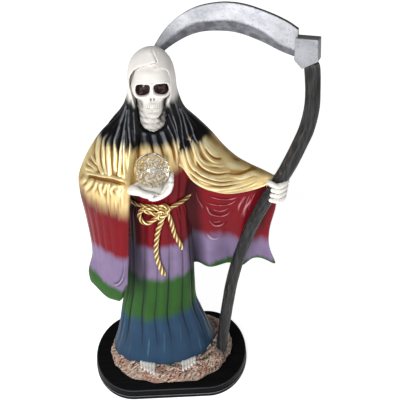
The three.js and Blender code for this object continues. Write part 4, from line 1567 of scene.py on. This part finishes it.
    def bend_curtain(self, u: Array, v: Array) -> Bent:
        """Bends the grid into the inner cloth; u goes out along the front and home along the back.

        Args:
            u: Shares round the body, from 0 to 1.
            v: Shares along it.

        Returns:
            The bent points and their paint values.
        """
        back = u > 0.5
        t = np.where(back, 2 - 2 * u, 2 * u)
        low = 127.5 + 1.5 * np.sin(t * 9) + 4.5 * ramp(t, 0.5, 0.72) * (1 - 0.9 * ramp(t, 0.72, 0.92))
        z = mix(low, 238, v)
        edge = 105 + 7 * bell(z, 127, 15) + 7.5 * bell(z, 206, 26)
        x = mix(22, edge, t)
        thick = (8 + 1.5 * np.sin(v * 3) - 3 * ramp(v, 0.7, 1)) * (1 - 0.5 * ramp(t, 0.9, 1))
        rounding = np.sqrt(np.clip(np.minimum(t / 0.01, (1 - t) / 0.03), 0, 1))
        rounding = rounding * np.sqrt(np.clip(v / 0.006, 0.5, 1)) * between_ends(v)
        middle = self.curtain_front(x, z) + thick / 2
        y = middle + np.where(back, thick, -thick) / 2 * rounding
        height, brush_and_painted_light = carved(self.curtain_folds, x, z)
        y = y - np.where(back, 0, height * np.minimum(rounding * 2, 1))
        # Painted shade beside the robe and near the far edge, and a painted sheen of pale streaks on the
        # right.
        shade = (1 - ramp(x, 31, 46)) * 0.9 + 0.5 * bell(x, 98, 5) * ramp(z, 165, 185)
        sheen = 0.62 * bell(x - 0.35 * (z - 200), 82, 7) * ramp(z, 172, 196) * (1 - ramp(z, 218, 228))
        brush_and_painted_light = np.maximum(brush_and_painted_light, sheen * (0.7 + 0.3 * np.sin(1.9 * x - 0.5 * z)))
        return x, y, z, {"brush_and_painted_light": np.where(back, 0, brush_and_painted_light), "shade": np.clip(shade, 0, 0.8)}

    def build(self, gold: Material, inner: Material) -> None:
        """Builds the swag and the inner cloth in their paints."""
        cloths = (
            ("left_sleeve_swag", gold, bend_grid(240, 200, self.bend_swag)),
            ("left_sleeve_inner_cloth", inner, bend_grid(270, 170, self.bend_curtain)),
        )
        for name, paint, cloth in cloths:
            cast_piece(name, paint, Wash(26, 0.5)).place(cloth)


# A direction that no bar follows, from which its sides are worked out.
NEARLY_UP = (0.02, 0.1, 1)


def heading(table: Sequence[Row], place: Array, step: float) -> Array:
    """Direction of a line at some places on it.

    Args:
        table: Stations of the line: place, x, y, z and perhaps more.
        place: Places to read.
        step: How far before and after them the line is read.

    Returns:
        Vectors 1 long, each a column.
    """
    first, last = table[0][0], table[-1][0]
    after = along(table, np.clip(place + step, first, last))[:3]
    return unit(after - along(table, np.clip(place - step, first, last))[:3])


def limb(stations: Sequence[Row], sides: int, count: int, flat: float = 1.0) -> Body:
    """A rounded bar.

    Args:
        stations: x, y, z and radius along its middle.
        sides: Cells round it.
        count: Cells along it.
        flat: Its thickness across the up direction, as a share of its width.

    Returns:
        The bar as a closed body.
    """
    table = spaced(stations)

    def bend(u: Array, v: Array) -> Bent:
        """Bends the grid round the bar's middle.

        Args:
            u: Shares round the bar, from 0 to 1.
            v: Shares along it.

        Returns:
            The bent points, with no paint values.
        """
        t = np.clip(v, 0.002, 0.998)
        *middle, radius = along(table, t)
        ahead = heading(table, t, 0.01)
        side = unit(np.cross(ahead.T, NEARLY_UP).T)
        over = np.cross(side.T, ahead.T).T
        wide = radius * round_ends(v, len(stations) * 1.6)
        turn = TAU * u
        points = np.stack(middle) + side * wide * np.cos(turn) + over * wide * flat * np.sin(turn)
        return *points, {}

    return bend_grid(sides, count, bend)


def pad(size: Row, middle: Row) -> Body:
    """A rounded palm.

    Args:
        size: Its half sizes along the three axes.
        middle: Its middle.

    Returns:
        The palm as a closed body.
    """
    bm = bmesh.new()
    bmesh.ops.create_uvsphere(bm, u_segments=32, v_segments=20, radius=1)
    bmesh.ops.scale(bm, verts=bm.verts, vec=size)
    bmesh.ops.translate(bm, verts=bm.verts, vec=middle)
    return bm


def from_point(point: Row, stations: Iterable[Row]) -> list[Row]:
    """Stations of a bar that are given from a point: x, y, z and radius."""
    x, y, z = point
    return [(x + ahead, y + aside, z + up, radius) for ahead, aside, up, radius in stations]


@dataclass
class Hands:
    """The right hand below the ball and the left fist round the pole, both bony."""

    plane: ScythePlane = ScythePlane()
    # Where the pole's middle crosses the left fist, across and up the scythe's plane.
    grip: Row = (56.09, GRIP)
    # Radius of the ball that the right hand holds.
    ball: float = 16.0
    # Places of the four fingers across a palm.
    fingers: Row = (0, 1 / 3, 2 / 3, 1)
    # Joints of the left hand's bars, from the middle of the pole: x, y, z and radius.
    curl: tuple[Row, ...] = (
        (0, 9.2, 1, 2.5), (5.0, 8, 0.8, 2.7), (7.4, 3.4, 0.6, 2.5), (7.8, -2, 0.2, 2.9), (6.0, -6.8, 0, 2.4),
        (1.5, -9.0, -0.6, 2.8), (-3.4, -9.0, -0.2, 2.2), (-6.8, -7.4, 0.2, 2.4),
    )
    left_thumb: tuple[Row, ...] = (
        (-5.5, 4.2, 5, 2.8), (-6.8, -3.5, 7.2, 2.6), (-5.4, -8.2, 8.2, 2.8), (-1, -10, 6.8, 2.5),
        (4.2, -9.8, 4.6, 2.3),
    )

    def right(self) -> list[Body]:
        """Makes the hand under the ball.

        Returns:
            Its palm, wrist, fingers, thumb and the bones that show along it.
        """
        x, y, z = PALM
        r = self.ball
        wrist = [(-33, -37, 250, 4.5), (-25, -43, 250.5, 5.4)]
        wrist += from_point(PALM, [(-14, 1, -5.4, 6), (0, -1, -6, 6)])
        bars = [pad((r - 1.5, r - 4.5, 7.5), (x - 2, y + 1, z - 5)), limb(wrist, 24, 30, 0.85)]
        for t in self.fingers:
            tip = r * mix(0.58, 0.78, math.sin(t * math.pi))
            bars.append(limb(from_point((x, y + mix(-11, 7, t), z), [
                (-5, 0, -8, 2.4), (3, 0, -7, 2.7), (r * 0.6, -1, -3.6, 2.4), (r * 0.86, -1, r * 0.05, 3),
                (r + 0.2, -1, r * 0.3, 2.2), (r + 0.9, -0.5, r * 0.5, 2.5), (r + 1, 0, tip, 1.9),
            ]), 18, 40))
        bars.append(limb(from_point(PALM, [
            (-r - 1.6, -2, 0.5, 3.4), (-r * 0.8, -10, 0.5, 3), (-r * 0.5, -13, 0, 2.5),
            (-r * 0.2, -r - 1, 0.3, 2.8), (1.5, -r - 2.5, 1, 2),
        ]), 18, 30))
        for t in self.fingers:
            bars.append(limb(from_point(PALM, [
                (-20, mix(-3, 4, t), -3, 1.5), (-9, mix(-9, 6, t), -1, 1.9), (5, mix(-12, 8, t), -3, 1.7),
            ]), 12, 16))
        return bars

    def left(self) -> list[Body]:
        """Makes the fist round the pole.

        Returns:
            Its palm, wrist, fingers and thumb.
        """
        held = self.plane.matrix() @ Vector((*self.grip, 0))
        x, y, z = held
        wrist = [(96, -15, 238, 3.4), *from_point(held, [(-6, 5.7, 4, 3.8), (-0.3, 4.2, -1, 5.5)])]
        bars = [pad((8.5, 6.5, 11), (x - 0.8, y + 6.2, z - 2)), limb(wrist, 24, 24)]
        for t in self.fingers:
            bars.append(limb(from_point((x + mix(1.4, -1.2, t), y, z + mix(7, -9.5, t)), self.curl), 18, 44))
        bars.append(limb(from_point(held, self.left_thumb), 18, 30))
        return bars

    def build(self, paint: Material) -> None:
        """Builds both hands in bone paint."""
        for name, bars in (("right_hand", self.right()), ("left_hand", self.left())):
            cast_piece(name, paint, Wash(12, 0.22), Melt(0.45, 3)).place(joined(bars))


@dataclass
class Feet:
    """Two feet of five bony toes that show under the hem."""

    # Tips of the toes of each foot, x, y and how far each is lifted, from the viewer's left.
    left: tuple[Row, ...] = (
        (-30.2, -39.4, 0.4), (-27, -42.2, 0), (-23.8, -44.8, 0), (-20.6, -48, 0), (-17.4, -49.6, 0),
    )
    right: tuple[Row, ...] = (
        (13, -46, 0), (16.2, -44.2, 0), (19.2, -42.4, 0.6), (22.2, -40.4, 1.6), (25.2, -38, 2.6),
    )
    # Where the bars of a foot start under the hem.
    heel_y: float = -26.0
    # A bar from there to the tip of a toe: share of its length, depth below the rock's top and radius.
    toe: tuple[Row, ...] = (
        (0, 0.8, 2), (0.3, 0.8, 2), (0.5, 0.9, 2), (0.66, 1.3, 1.3), (0.82, 2.2, 1.5), (1, 3.4, 1.15),
    )

    def foot(self, tips: Sequence[Row]) -> list[Body]:
        """A foot: five bars joined over their first half, as a slab with separate ends.

        Args:
            tips: Tips of its toes: x, y and lift.

        Returns:
            The bars.
        """
        bars = []
        for x, y, lift in tips:
            bar = []
            for share, drop, radius in self.toe:
                bar.append((x, mix(self.heel_y, y, share), ROCK_TOP - drop + lift * share, radius))
            bars.append(limb(bar, 16, 34))
        return bars

    def build(self, paint: Material) -> None:
        """Builds the feet in bone paint."""
        bars = self.foot(self.left) + self.foot(self.right)
        cast_piece("feet", paint, Wash(10, 0.3), Melt(0.35, 2)).place(joined(bars))


def on_front(x: float, z: float, out: float) -> Row:
    """A point in front of the robe.

    Args:
        x: Its place across.
        z: Its height.
        out: How far it stands off the robe.

    Returns:
        x, y and z.
    """
    cx, cy, a, b = (float(k[0]) for k in along(ROBE, z))
    share = min(max((x - cx) / (a + out), -1), 1)
    return (x, cy - (b + out) * math.sqrt(1 - share * share), z)


@dataclass(frozen=True)
class Strand:
    """One strand of a rope.

    The path is a table of places along the rope and the x, y and z of its middle, the radius is the
    rope's outer one, lay the length of a full turn, and phase where the turns start.
    """

    path: Array
    radius: float
    lay: float
    phase: float
    # Its own radius as a share of the rope's, and the length over which its ends round off.
    share: float = 0.54
    rounding: float = 1.2
    # Length of a cell of its grid.
    cell: float = 0.5

    def bend(self, u: Array, v: Array) -> Bent:
        """Bends the grid round the strand's middle.

        Args:
            u: Shares round the body, from 0 to 1.
            v: Shares along it.

        Returns:
            The bent points and their paint values.
        """
        length = self.path[-1, 0]
        place = v * length
        middle = along(self.path, place)
        ahead = heading(self.path, place, 0.4)
        out = np.stack([middle[0], middle[1], middle[0] * 0])
        out = unit(out - ahead * (out * ahead).sum(axis=0))
        over = np.cross(ahead.T, out.T).T
        twist = TAU * (place / self.lay + self.phase)
        own = self.radius * self.share
        capped = own * round_ends(v, length / self.rounding)
        turn = TAU * u
        a = (self.radius - own) * np.cos(twist) + capped * np.cos(turn)
        b = (self.radius - own) * np.sin(twist) + capped * np.sin(turn)
        return *(middle + out * a + over * b), {"crest": np.hypot(a, b) / self.radius}

    def build(self) -> Body:
        """The strand as a closed body."""
        return bend_grid(16, max(24, int(self.path[-1, 0] / self.cell)), self.bend)


@dataclass
class RopeBelt:
    """The rope round the waist with its bow and two hanging ends."""

    strands: int = 3
    # Length of a full turn of the strands.
    lay: float = 21.0
    # The belt, three loops of the bow and both hanging ends: how far in front of the robe, radius, and x and
    # height along each.
    cords: tuple[tuple[float, float, tuple[Row, ...]], ...] = (
        (1.8, 1.9, (
            (-34, 222), (-28.4, 219.4), (-21.3, 219.8), (-14, 220.6), (-6, 221.4), (2, 219.6), (8, 217.6),
            (13, 219), (21.5, 220.6), (27.4, 221.6), (31, 226),
        )),
        (4.5, 2.2, (
            (4.5, 217), (-2, 220), (-9, 220.8), (-16.9, 216.6), (-19.5, 211.2), (-18, 205.4), (-13.3, 203.2),
            (-7.4, 206.8), (-1.5, 211.6), (3.3, 215.4),
        )),
        (4.8, 2.0, ((-17.5, 220.6), (-14.2, 216.8), (-7.9, 215.6), (-3, 213.6), (3, 211))),
        (5.6, 2.2, (
            (-1.2, 222), (3.9, 224.6), (8.4, 219.5), (4.4, 213), (-0.4, 210.6), (-1.6, 215.1), (3.2, 218.4),
            (8.4, 213.7),
        )),
        (3.0, 2.5, (
            (3.4, 213.5), (1.6, 206.6), (-2.5, 195.7), (-4.9, 183.1), (-6.2, 168.7), (-4.9, 155.7),
            (0, 139.3),
        )),
        (3.0, 2.3, ((6, 217), (8.4, 210), (10.4, 201), (12.9, 186), (17, 174.2), (18.9, 166.6))),
    )

    def cord(self, points: Sequence[Row], radius: float) -> list[Body]:
        """Strands twisted round a path.

        Args:
            points: Path of the rope's middle.
            radius: Outer radius of the rope.

        Returns:
            One body for each strand.
        """
        rows = np.array(points, float)
        gaps = np.linalg.norm(np.diff(rows, axis=0), axis=1)
        path = np.column_stack([np.concatenate([[0], np.cumsum(gaps)]), rows])
        phases = [i / self.strands for i in range(self.strands)]
        return [Strand(path, radius, self.lay, phase).build() for phase in phases]

    def build(self, paint: Material) -> None:
        """Builds the rope.

        Args:
            paint: Gold paint.
        """
        parts = []
        for out, radius, path in self.cords:
            parts += self.cord([on_front(x, z, out) for x, z in path], radius)
        cast_piece("rope_belt", paint, Wash(6, 0.3)).place(joined(parts))


@dataclass
class Rock:
    """The broken rock below the hem."""

    # Tilt of its layers in degrees.
    dip: float = 32.0
    # Share of the way up, height, and how far it stands in from its full width.
    levels: tuple[Row, ...] = (
        (0, ROCK_FOOT, 0.6), (0.06, ROCK_FOOT + 0.4, 0), (0.2, ROCK_FOOT + 3, -1), (0.42, ROCK_TOP - 7.5, 0),
        (0.6, ROCK_TOP - 3.5, 3.5), (0.8, ROCK_TOP - 1, 9), (1, ROCK_TOP, 24),
    )

    def bend(self, u: Array, v: Array) -> Bent:
        """Bends the grid into the rock.

        Args:
            u: Shares round the body, from 0 to 1.
            v: Shares along it.

        Returns:
            The bent points and their paint values.
        """
        angle = TAU * (u - 0.5)
        z, inset = along(self.levels, v)
        lumps = 1.5 * np.sin(5 * angle + z * 0.4) + 0.9 * np.sin(11 * angle - z * 0.7)
        lumps += 0.6 * np.sin(17 * angle + z)
        right = bell(angle, 1.3, 0.42)
        back = 6 * bell(angle, 2.3, 0.5)
        x = (ROCK_HALF_WIDTH - inset + lumps * 0.5 + back) * np.sin(angle)
        y = 1 - (ROCK_HALF_DEPTH - inset + lumps + back) * np.cos(angle)
        rise = ramp(z, ROCK_TOP - 9.5, ROCK_TOP - 1.5)
        top = z + rise * (4.5 * right + 0.5 * np.sin(9 * angle + inset))
        points = np.stack([x, y, top], axis=1)
        # Crags, tilted layers with splits between them, and chips.
        crag = rough(points, 11, 5, 3.1)
        strata = np.array(Matrix.Rotation(math.radians(self.dip), 3, "Y")) @ points.T
        streak = rough((strata * [[0.28], [0.8], [1.5]]).T, 3.2, 4, 6.3)
        split = bell(rough((strata * [[0.22], [0.7], [1.3]]).T, 4.5, 2, 9.4), 0.05, 0.07)
        chip = cracks(points, 4.2, 8.2) ** 2
        out = (1.1 * crag + 0.75 * streak - 1.2 * split - 0.35 * chip - 0.8) * ramp(v, 0.02, 0.12)
        x, y = x + out * np.sin(angle), y - out * np.cos(angle)
        broken = (0.7 * crag + 0.4 * streak - 0.7 * split) * ramp(v, 0.3, 0.5)
        top = np.maximum(top + broken, ROCK_FOOT)
        # Darker round the pole's foot, and painted shade on the top under the hem.
        pole_dark_and_hem_shade = bell(np.hypot(x - POLE_FOOT[0], y - POLE_FOOT[1] + 2), 0, 8.5) * 0.9
        shade = 0.35 * ramp(v, 0.75, 0.9)
        return x, y, top, {"pole_dark_and_hem_shade": np.maximum(pole_dark_and_hem_shade, shade)}

    def build(self, paint: Material) -> None:
        """Builds the rock in its paint."""
        cast_piece("rock", paint, Wash(8, 0.35)).place(bend_grid(390, 84, self.bend))


@dataclass
class Scythe:
    """Bent pole, curved blade and the socket between them."""

    plane: ScythePlane = ScythePlane()
    length: float = POLE_LENGTH
    grip: float = GRIP
    # Thickness of the pole's upper part as a share of its width.
    flatness: float = 0.7
    blade_thickness: float = 3.6
    edge_thickness: float = 1.0
    socket_thickness: float = 11.0
    socket_rounding: float = 0.9
    # Corners of the socket, across and over the pole's end.
    socket_outline: tuple[Row, ...] = ((70.6, 9), (70.2, -11.4), (77.6, -19), (92, -10.2), (91.4, 9.8))
    # The pole up to the hand: height, offset and radius.
    lower: tuple[Row, ...] = (
        (-4, -0.6, 5.3), (0, 0, 5.4), (50, 6.3, 5.9), (100, 14.6, 6), (150, 29.5, 6.2), (182, 43, 6.4),
    )
    # The pole over the hand: share of the way from the grip to its end, offset and radius.
    upper: tuple[Row, ...] = (
        (0.11, 63.3, 7), (0.29, 74.4, 7.2), (0.455, 83, 7.2), (0.595, 86.7, 7.1), (0.71, 87.2, 7.1),
    )
    # Share of the blade's length, then back edge, grind line and cutting edge, each across and over the
    # pole's end.
    blade_rows: tuple[Row, ...] = (
        (0, -72, -36, -69, -35, -66, -34), (0.09, -65.2, -18.4, -60, -19.5, -55.4, -21.4),
        (0.2, -49.2, 5.5, -44, -3, -38.8, -8.1), (0.33, -27, 23, -26, 9.6, -22, 1),
        (0.47, -2, 31.6, -6, 15, -4, 5.2), (0.6, 20, 32.8, 15, 17, 16, 5.8),
        (0.75, 43.5, 28, 38, 11.4, 38, 0.6), (0.9, 61.5, 21.8, 57, 0.5, 57, -6.5),
        (1, 72, 16, 72, -4, 72, -10.6),
    )
    # Shares of the grid where the sides of the blade's section begin: back, flat, bevel, cutting edge,
    # bevel and flat.
    stops: Row = (0, 0.06, 0.36, 0.49, 0.51, 0.64, 1.0)

    def pole_table(self) -> list[Row]:
        """Stations of the pole.

        Returns:
            Height, offset and radius of each, the last ones inside the socket.
        """
        tenon = (self.socket_thickness / 2 - 1.7) / self.flatness
        end = self.length
        return [
            *self.lower,
            *((mix(self.grip, end, share), across, radius) for share, across, radius in self.upper),
            (end - 22, 86, 7.3), (end - 16, 85.3, 7), (end - 13, 84.6, tenon + 0.4), (end + 2, 82, tenon),
        ]

    def bend_pole(self, u: Array, v: Array) -> Bent:
        """Bends the grid into the pole.

        Args:
            u: Shares round the body, from 0 to 1.
            v: Shares along it.

        Returns:
            The bent points and their paint values.
        """
        table = self.pole_table()
        height = mix(table[0][0], self.length, v)
        middle, radius = along(table, height)
        slope = np.arctan2(along(table, height + 1)[0] - along(table, height - 1)[0], 2)
        flat = mix(0.95, self.flatness, ramp(height, 150, 300))
        turn = TAU * u
        strips = np.stack([np.cos(turn) * 7, np.sin(turn) * 7, height / 9], axis=1)
        grain = 0.28 * rough(strips, 2.6, 3, 4.4)
        a = (radius + grain) * np.cos(turn)
        b = (radius * flat + grain) * np.sin(turn)
        return *self.plane.place(middle + a * np.cos(slope), height - a * np.sin(slope), -b), {}

    def bend_blade(self, u: Array, v: Array) -> Bent:
        """Bends the grid into the blade; u goes round its six-sided section.

        Args:
            u: Shares round the body, from 0 to 1.
            v: Shares along it.

        Returns:
            The bent points and their paint values.
        """
        bx, by, gx, gy, cx, cy = along(self.blade_rows, v)
        half, thin = self.blade_thickness / 2, self.edge_thickness / 2
        corners = [
            (bx, by, -half), (bx, by, half), (gx, gy, half), (cx, cy, thin), (cx, cy, -thin), (gx, gy, -half),
        ]
        rings = np.array([np.stack(np.broadcast_arrays(*corner)) for corner in corners])
        stops = np.array(self.stops)
        side = np.clip(np.searchsorted(stops, u, side="right") - 1, 0, len(corners) - 1)
        t = (u - stops[side]) / (stops[side + 1] - stops[side])
        pick = np.arange(len(u))
        low, high = rings[side, :, pick].T, rings[(side + 1) % len(corners), :, pick].T
        x, y, z = low + (high - low) * t
        ground = np.where((side >= 2) & (side <= 4), 1, -1)
        bevel = 0.5 + 0.5 * ground * ramp(np.hypot(x - gx, y - gy), 0, 2.6)
        rim = np.where(side == 0, 1.0, 0.55 * bell(np.hypot(x - bx, y - by), 0, 0.9))
        rim = np.maximum(rim, 0.5 * bell(np.hypot(x - cx, y - cy), 0, 0.7))
        shade = np.maximum(1 - ramp(v, 0.03, 0.3), 0.35 * ramp(v, 0.72, 0.9))
        return *self.plane.place(x, y + self.length, -z), {"bevel": bevel, "rim": rim, "shade": shade}

    def socket(self) -> Body:
        """Makes the block with a slanting lower side, its edges rounded.

        Returns:
            The block as a closed body.
        """
        half = self.socket_thickness / 2
        bm = bmesh.new()
        corners = [bm.verts.new((x, y + self.length, -half)) for x, y in self.socket_outline]
        face = bm.faces.new(corners)
        grown = bmesh.ops.extrude_face_region(bm, geom=[face])
        lifted = [e for e in grown["geom"] if isinstance(e, bmesh.types.BMVert)]
        bmesh.ops.translate(bm, verts=lifted, vec=(0, 0, self.socket_thickness))
        bmesh.ops.bevel(
            bm, geom=list(bm.edges), offset=self.socket_rounding, segments=3, profile=0.5,
            affect="EDGES", material=-1,
        )
        rim, shade = (bm.verts.layers.float.new(name) for name in ("rim", "shade"))
        for vert in bm.verts:
            vert[rim] = 0.6 * float(ramp(half - abs(vert.co.z), 0.5, 0.95))
            vert[shade] = 0.6
        bmesh.ops.transform(bm, matrix=self.plane.matrix(), verts=bm.verts)
        bmesh.ops.recalc_face_normals(bm, faces=bm.faces)
        return bm

    def build(self, stain: Material, silver: Material) -> None:
        """Builds the pole, blade and socket.

        Args:
            stain: Paint of the pole.
            silver: Paint of the blade and its socket.
        """
        pole = Piece("scythe_pole", Node.HANDLE, Slot.POLE, stain, Wash(10, 0.25))
        pole.place(bend_grid(56, 370, self.bend_pole))
        blade = Piece("scythe_curved_blade", Node.BLADE, Slot.BLADE, silver, sharp=25)
        blade.place(bend_grid(100, 160, self.bend_blade))
        Piece("scythe_socket", Node.BLADE, Slot.BLADE, silver, sharp=40).place(self.socket())


@dataclass
class CrystalBall:
    """The clear ball on the right palm, with flakes of foil sealed in it."""

    flakes: int = 460
    # The flakes' cloud: its reach as a share of the ball's radius, the power that spreads them towards its
    # rim, and how far its middle is from the ball's.
    reach: float = 0.76
    spread: float = 0.75
    drift: Row = (1.6, 0, -1)
    # Least and largest half sizes of a flake along its three axes, and by how much its corners are crumpled.
    sizes: tuple[Row, ...] = ((0.4, 1.5), (0.3, 0.9), (0.08, 0.3))
    crumple: Row = (0.6, 1.3)

    def centre(self) -> tuple[Vector, float]:
        """Centre and radius of the ball in millimetres."""
        low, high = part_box(Node.BALL.value)
        return (low + high) / 2 / MM, (high.x - low.x) / 2 / MM

    def ball(self) -> Body:
        """Makes the ball itself.

        Returns:
            The ball as a closed body.
        """
        centre, radius = self.centre()
        bm = bmesh.new()
        bmesh.ops.create_uvsphere(bm, u_segments=96, v_segments=64, radius=radius)
        bmesh.ops.translate(bm, verts=bm.verts, vec=centre)
        return bm

    def filling(self) -> Body:
        """Makes thin crumpled flakes through the ball.

        Returns:
            One body with all of them.
        """
        centre, radius = self.centre()
        chance = random.Random(11)
        parts = []
        for _ in range(self.flakes):
            spot = Vector([chance.gauss(0, 1) for _ in range(3)]).normalized()
            spot = spot * (radius * self.reach * chance.random() ** self.spread) + Vector(self.drift)
            bm = bmesh.new()
            bmesh.ops.create_icosphere(bm, subdivisions=1, radius=1)
            bmesh.ops.scale(bm, verts=bm.verts, vec=[chance.uniform(*limits) for limits in self.sizes])
            for vert in bm.verts:
                vert.co *= chance.uniform(*self.crumple)
            spin = Matrix.Rotation(chance.uniform(0, TAU), 4, spot)
            spin = spin @ Matrix.Rotation(chance.uniform(0, TAU), 4, "X")
            bmesh.ops.transform(bm, matrix=Matrix.Translation(centre + spot) @ spin, verts=bm.verts)
            parts.append(bm)
        return joined(parts)

    def build(self, glass: Material, foil: Material) -> None:
        """Builds the ball and what is sealed in it."""
        Piece("glass_ball", Node.BALL, Slot.GLASS, glass).place(self.ball(), moved=False)
        Piece("ball_foil", Node.BALL, Slot.GLASS, foil).place(self.filling(), moved=False)


@dataclass
class Plinth:
    """The black plinth with a straight front and round ends."""

    # Half length of the straight front and back.
    straight: float = 38.0
    # How far the foot's moulding stands out from the rest.
    moulding: float = 0.5
    # Share of the way up, how far it stands out, and height.
    profile: tuple[Row, ...] = (
        (0, -0.6, 0), (0.08, -0.3, 0.1), (0.16, 0.2, 0.7), (0.24, 0.5, 1.6), (0.4, 0.5, 4.2),
        (0.48, 0.2, 4.9), (0.54, -0.6, 5.3), (0.6, -0.5, 5.8), (0.66, 0, 6.3), (0.84, 0, 10),
        (0.9, -0.3, 11), (0.95, -1, 11.7), (1, -1.8, 12),
    )

    def bend(self, u: Array, v: Array) -> Bent:
        """Bends the grid into the plinth.

        Args:
            u: Shares round the body, from 0 to 1.
            v: Shares along it.

        Returns:
            The bent points and their paint values.
        """
        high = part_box(Node.PLINTH.value)[1]
        reach, depth = high.x / MM - self.moulding, high.y / MM - self.moulding
        grow, z = along(self.profile, v)
        turn = TAU * u
        x = (reach - self.straight + grow) * np.cos(turn)
        x += self.straight * np.clip(np.cos(turn) * 40, -1, 1)
        # Painted highlight: pale lines along the moulding's edges, strongest in front.
        groove_highlight = np.maximum(bell(z, 4.4, 0.32), 0.3 * bell(z, 11.3, 0.4)) * (0.55 - 0.4 * np.sin(turn))
        return x, (depth + grow) * np.sin(turn), z, {"groove_highlight": groove_highlight}

    def build(self, paint: Material) -> None:
        """Builds the plinth in black lacquer."""
        piece = Piece("black_plinth", Node.PLINTH, Slot.WOOD, paint, sharp=50)
        piece.place(bend_grid(260, 52, self.bend), moved=False)


@dataclass(frozen=True)
class Studio:
    """Camera, soft lights and a pale floor."""

    camera_place: Row = (0.0386, -0.8535, 0.7773)
    # How far the camera looks down and is rolled in degrees, and its lens and sensor in millimetres.
    down: float = 33.896
    roll: float = -2.7
    focal: float = 94.48
    sensor: float = 36.0
    # Where the lights point.
    aim: Row = (0.02, 0, 0.2)
    # Name, place, side in metres and power in watts of each light.
    lights: tuple[tuple[str, Row, float, float], ...] = (
        ("key", (-0.6, -1.5, 1.15), 0.6, 28), ("top", (-0.3, 0.5, 1.9), 1.0, 3),
    )
    # Strength of the white light from all round.
    sky: float = 0.12
    # Half width of the floor in metres, its colour and its own glow.
    floor_size: float = 6.0
    floor_colour: Colour = (0.93, 0.93, 0.93)
    floor_glow: float = 0.82

    def camera(self) -> None:
        """Sets up the camera at the photograph's angle."""
        data = bpy.data.cameras.new("camera")
        data.sensor_width = self.sensor
        data.lens = self.focal
        camera = bpy.data.objects.new("camera", data)
        tilt = Matrix.Rotation(math.radians(90 - self.down), 4, "X")
        turn = tilt @ Matrix.Rotation(math.radians(self.roll), 4, "Z")
        camera.matrix_world = Matrix.Translation(self.camera_place) @ turn
        bpy.context.scene.collection.objects.link(camera)
        bpy.context.scene.camera = camera

    def light(self, name: str, place: Row, size: float, power: float) -> None:
        """Adds a square soft light that faces the figure.

        Args:
            name: Name of the light.
            place: Its place in metres.
            size: Its side in metres.
            power: Its power in watts.
        """
        data = bpy.data.lights.new(name, "AREA")
        data.size = size
        data.energy = power
        lamp = bpy.data.objects.new(name, data)
        aim = Vector(self.aim) - Vector(place)
        turn = aim.to_track_quat("-Z", "Y").to_matrix().to_4x4()
        lamp.matrix_world = Matrix.Translation(place) @ turn
        bpy.context.scene.collection.objects.link(lamp)

    def floor(self) -> None:
        """Adds the pale floor."""
        bm = bmesh.new()
        bmesh.ops.create_grid(bm, x_segments=1, y_segments=1, size=self.floor_size)
        mesh = bpy.data.meshes.new("floor")
        bm.to_mesh(mesh)
        bm.free()
        floor = bpy.data.objects.new("floor", mesh)
        bpy.context.scene.collection.objects.link(floor)
        tree = Tree("floor_paper")
        mesh.materials.append(tree.finish({
            "Base Color": self.floor_colour, "Roughness": 0.95, "Specular IOR Level": 0.0,
            "Emission Color": (1.0, 1.0, 1.0), "Emission Strength": self.floor_glow,
        }))

    def build(self) -> None:
        """Sets up the whole studio."""
        self.camera()
        self.floor()
        for light in self.lights:
            self.light(*light)
        world = bpy.data.worlds.new("studio")
        world.use_nodes = True
        sky = world.node_tree.nodes["Background"].inputs
        sky["Color"].default_value = (1, 1, 1, 1)
        sky["Strength"].default_value = self.sky
        bpy.context.scene.world = world
        bpy.context.scene.view_settings.view_transform = "Standard"


def main() -> None:
    """Builds the figure piece by piece and its studio."""
    logging.basicConfig(level=logging.INFO, format="%(name)s: %(message)s")
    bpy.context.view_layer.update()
    Studio().build()
    bone = BonePaint().build()
    Robe().build(ROBE_PAINT.build())
    Head().build(bone)
    RightSleeve().build(RIGHT_SLEEVE_PAINT.build())
    LeftSleeve().build(SWAG_PAINT.build(), INNER_CLOTH_PAINT.build())
    Hands().build(bone)
    Feet().build(bone)
    RopeBelt().build(RopePaint().build())
    Rock().build(StonePaint().build())
    Scythe().build(PolePaint().build(), BladePaint().build())
    CrystalBall().build(GlassFinish().build(), FlakeFinish().build())
    Plinth().build(LacquerPaint().build())


if __name__ == "__main__":
    main()
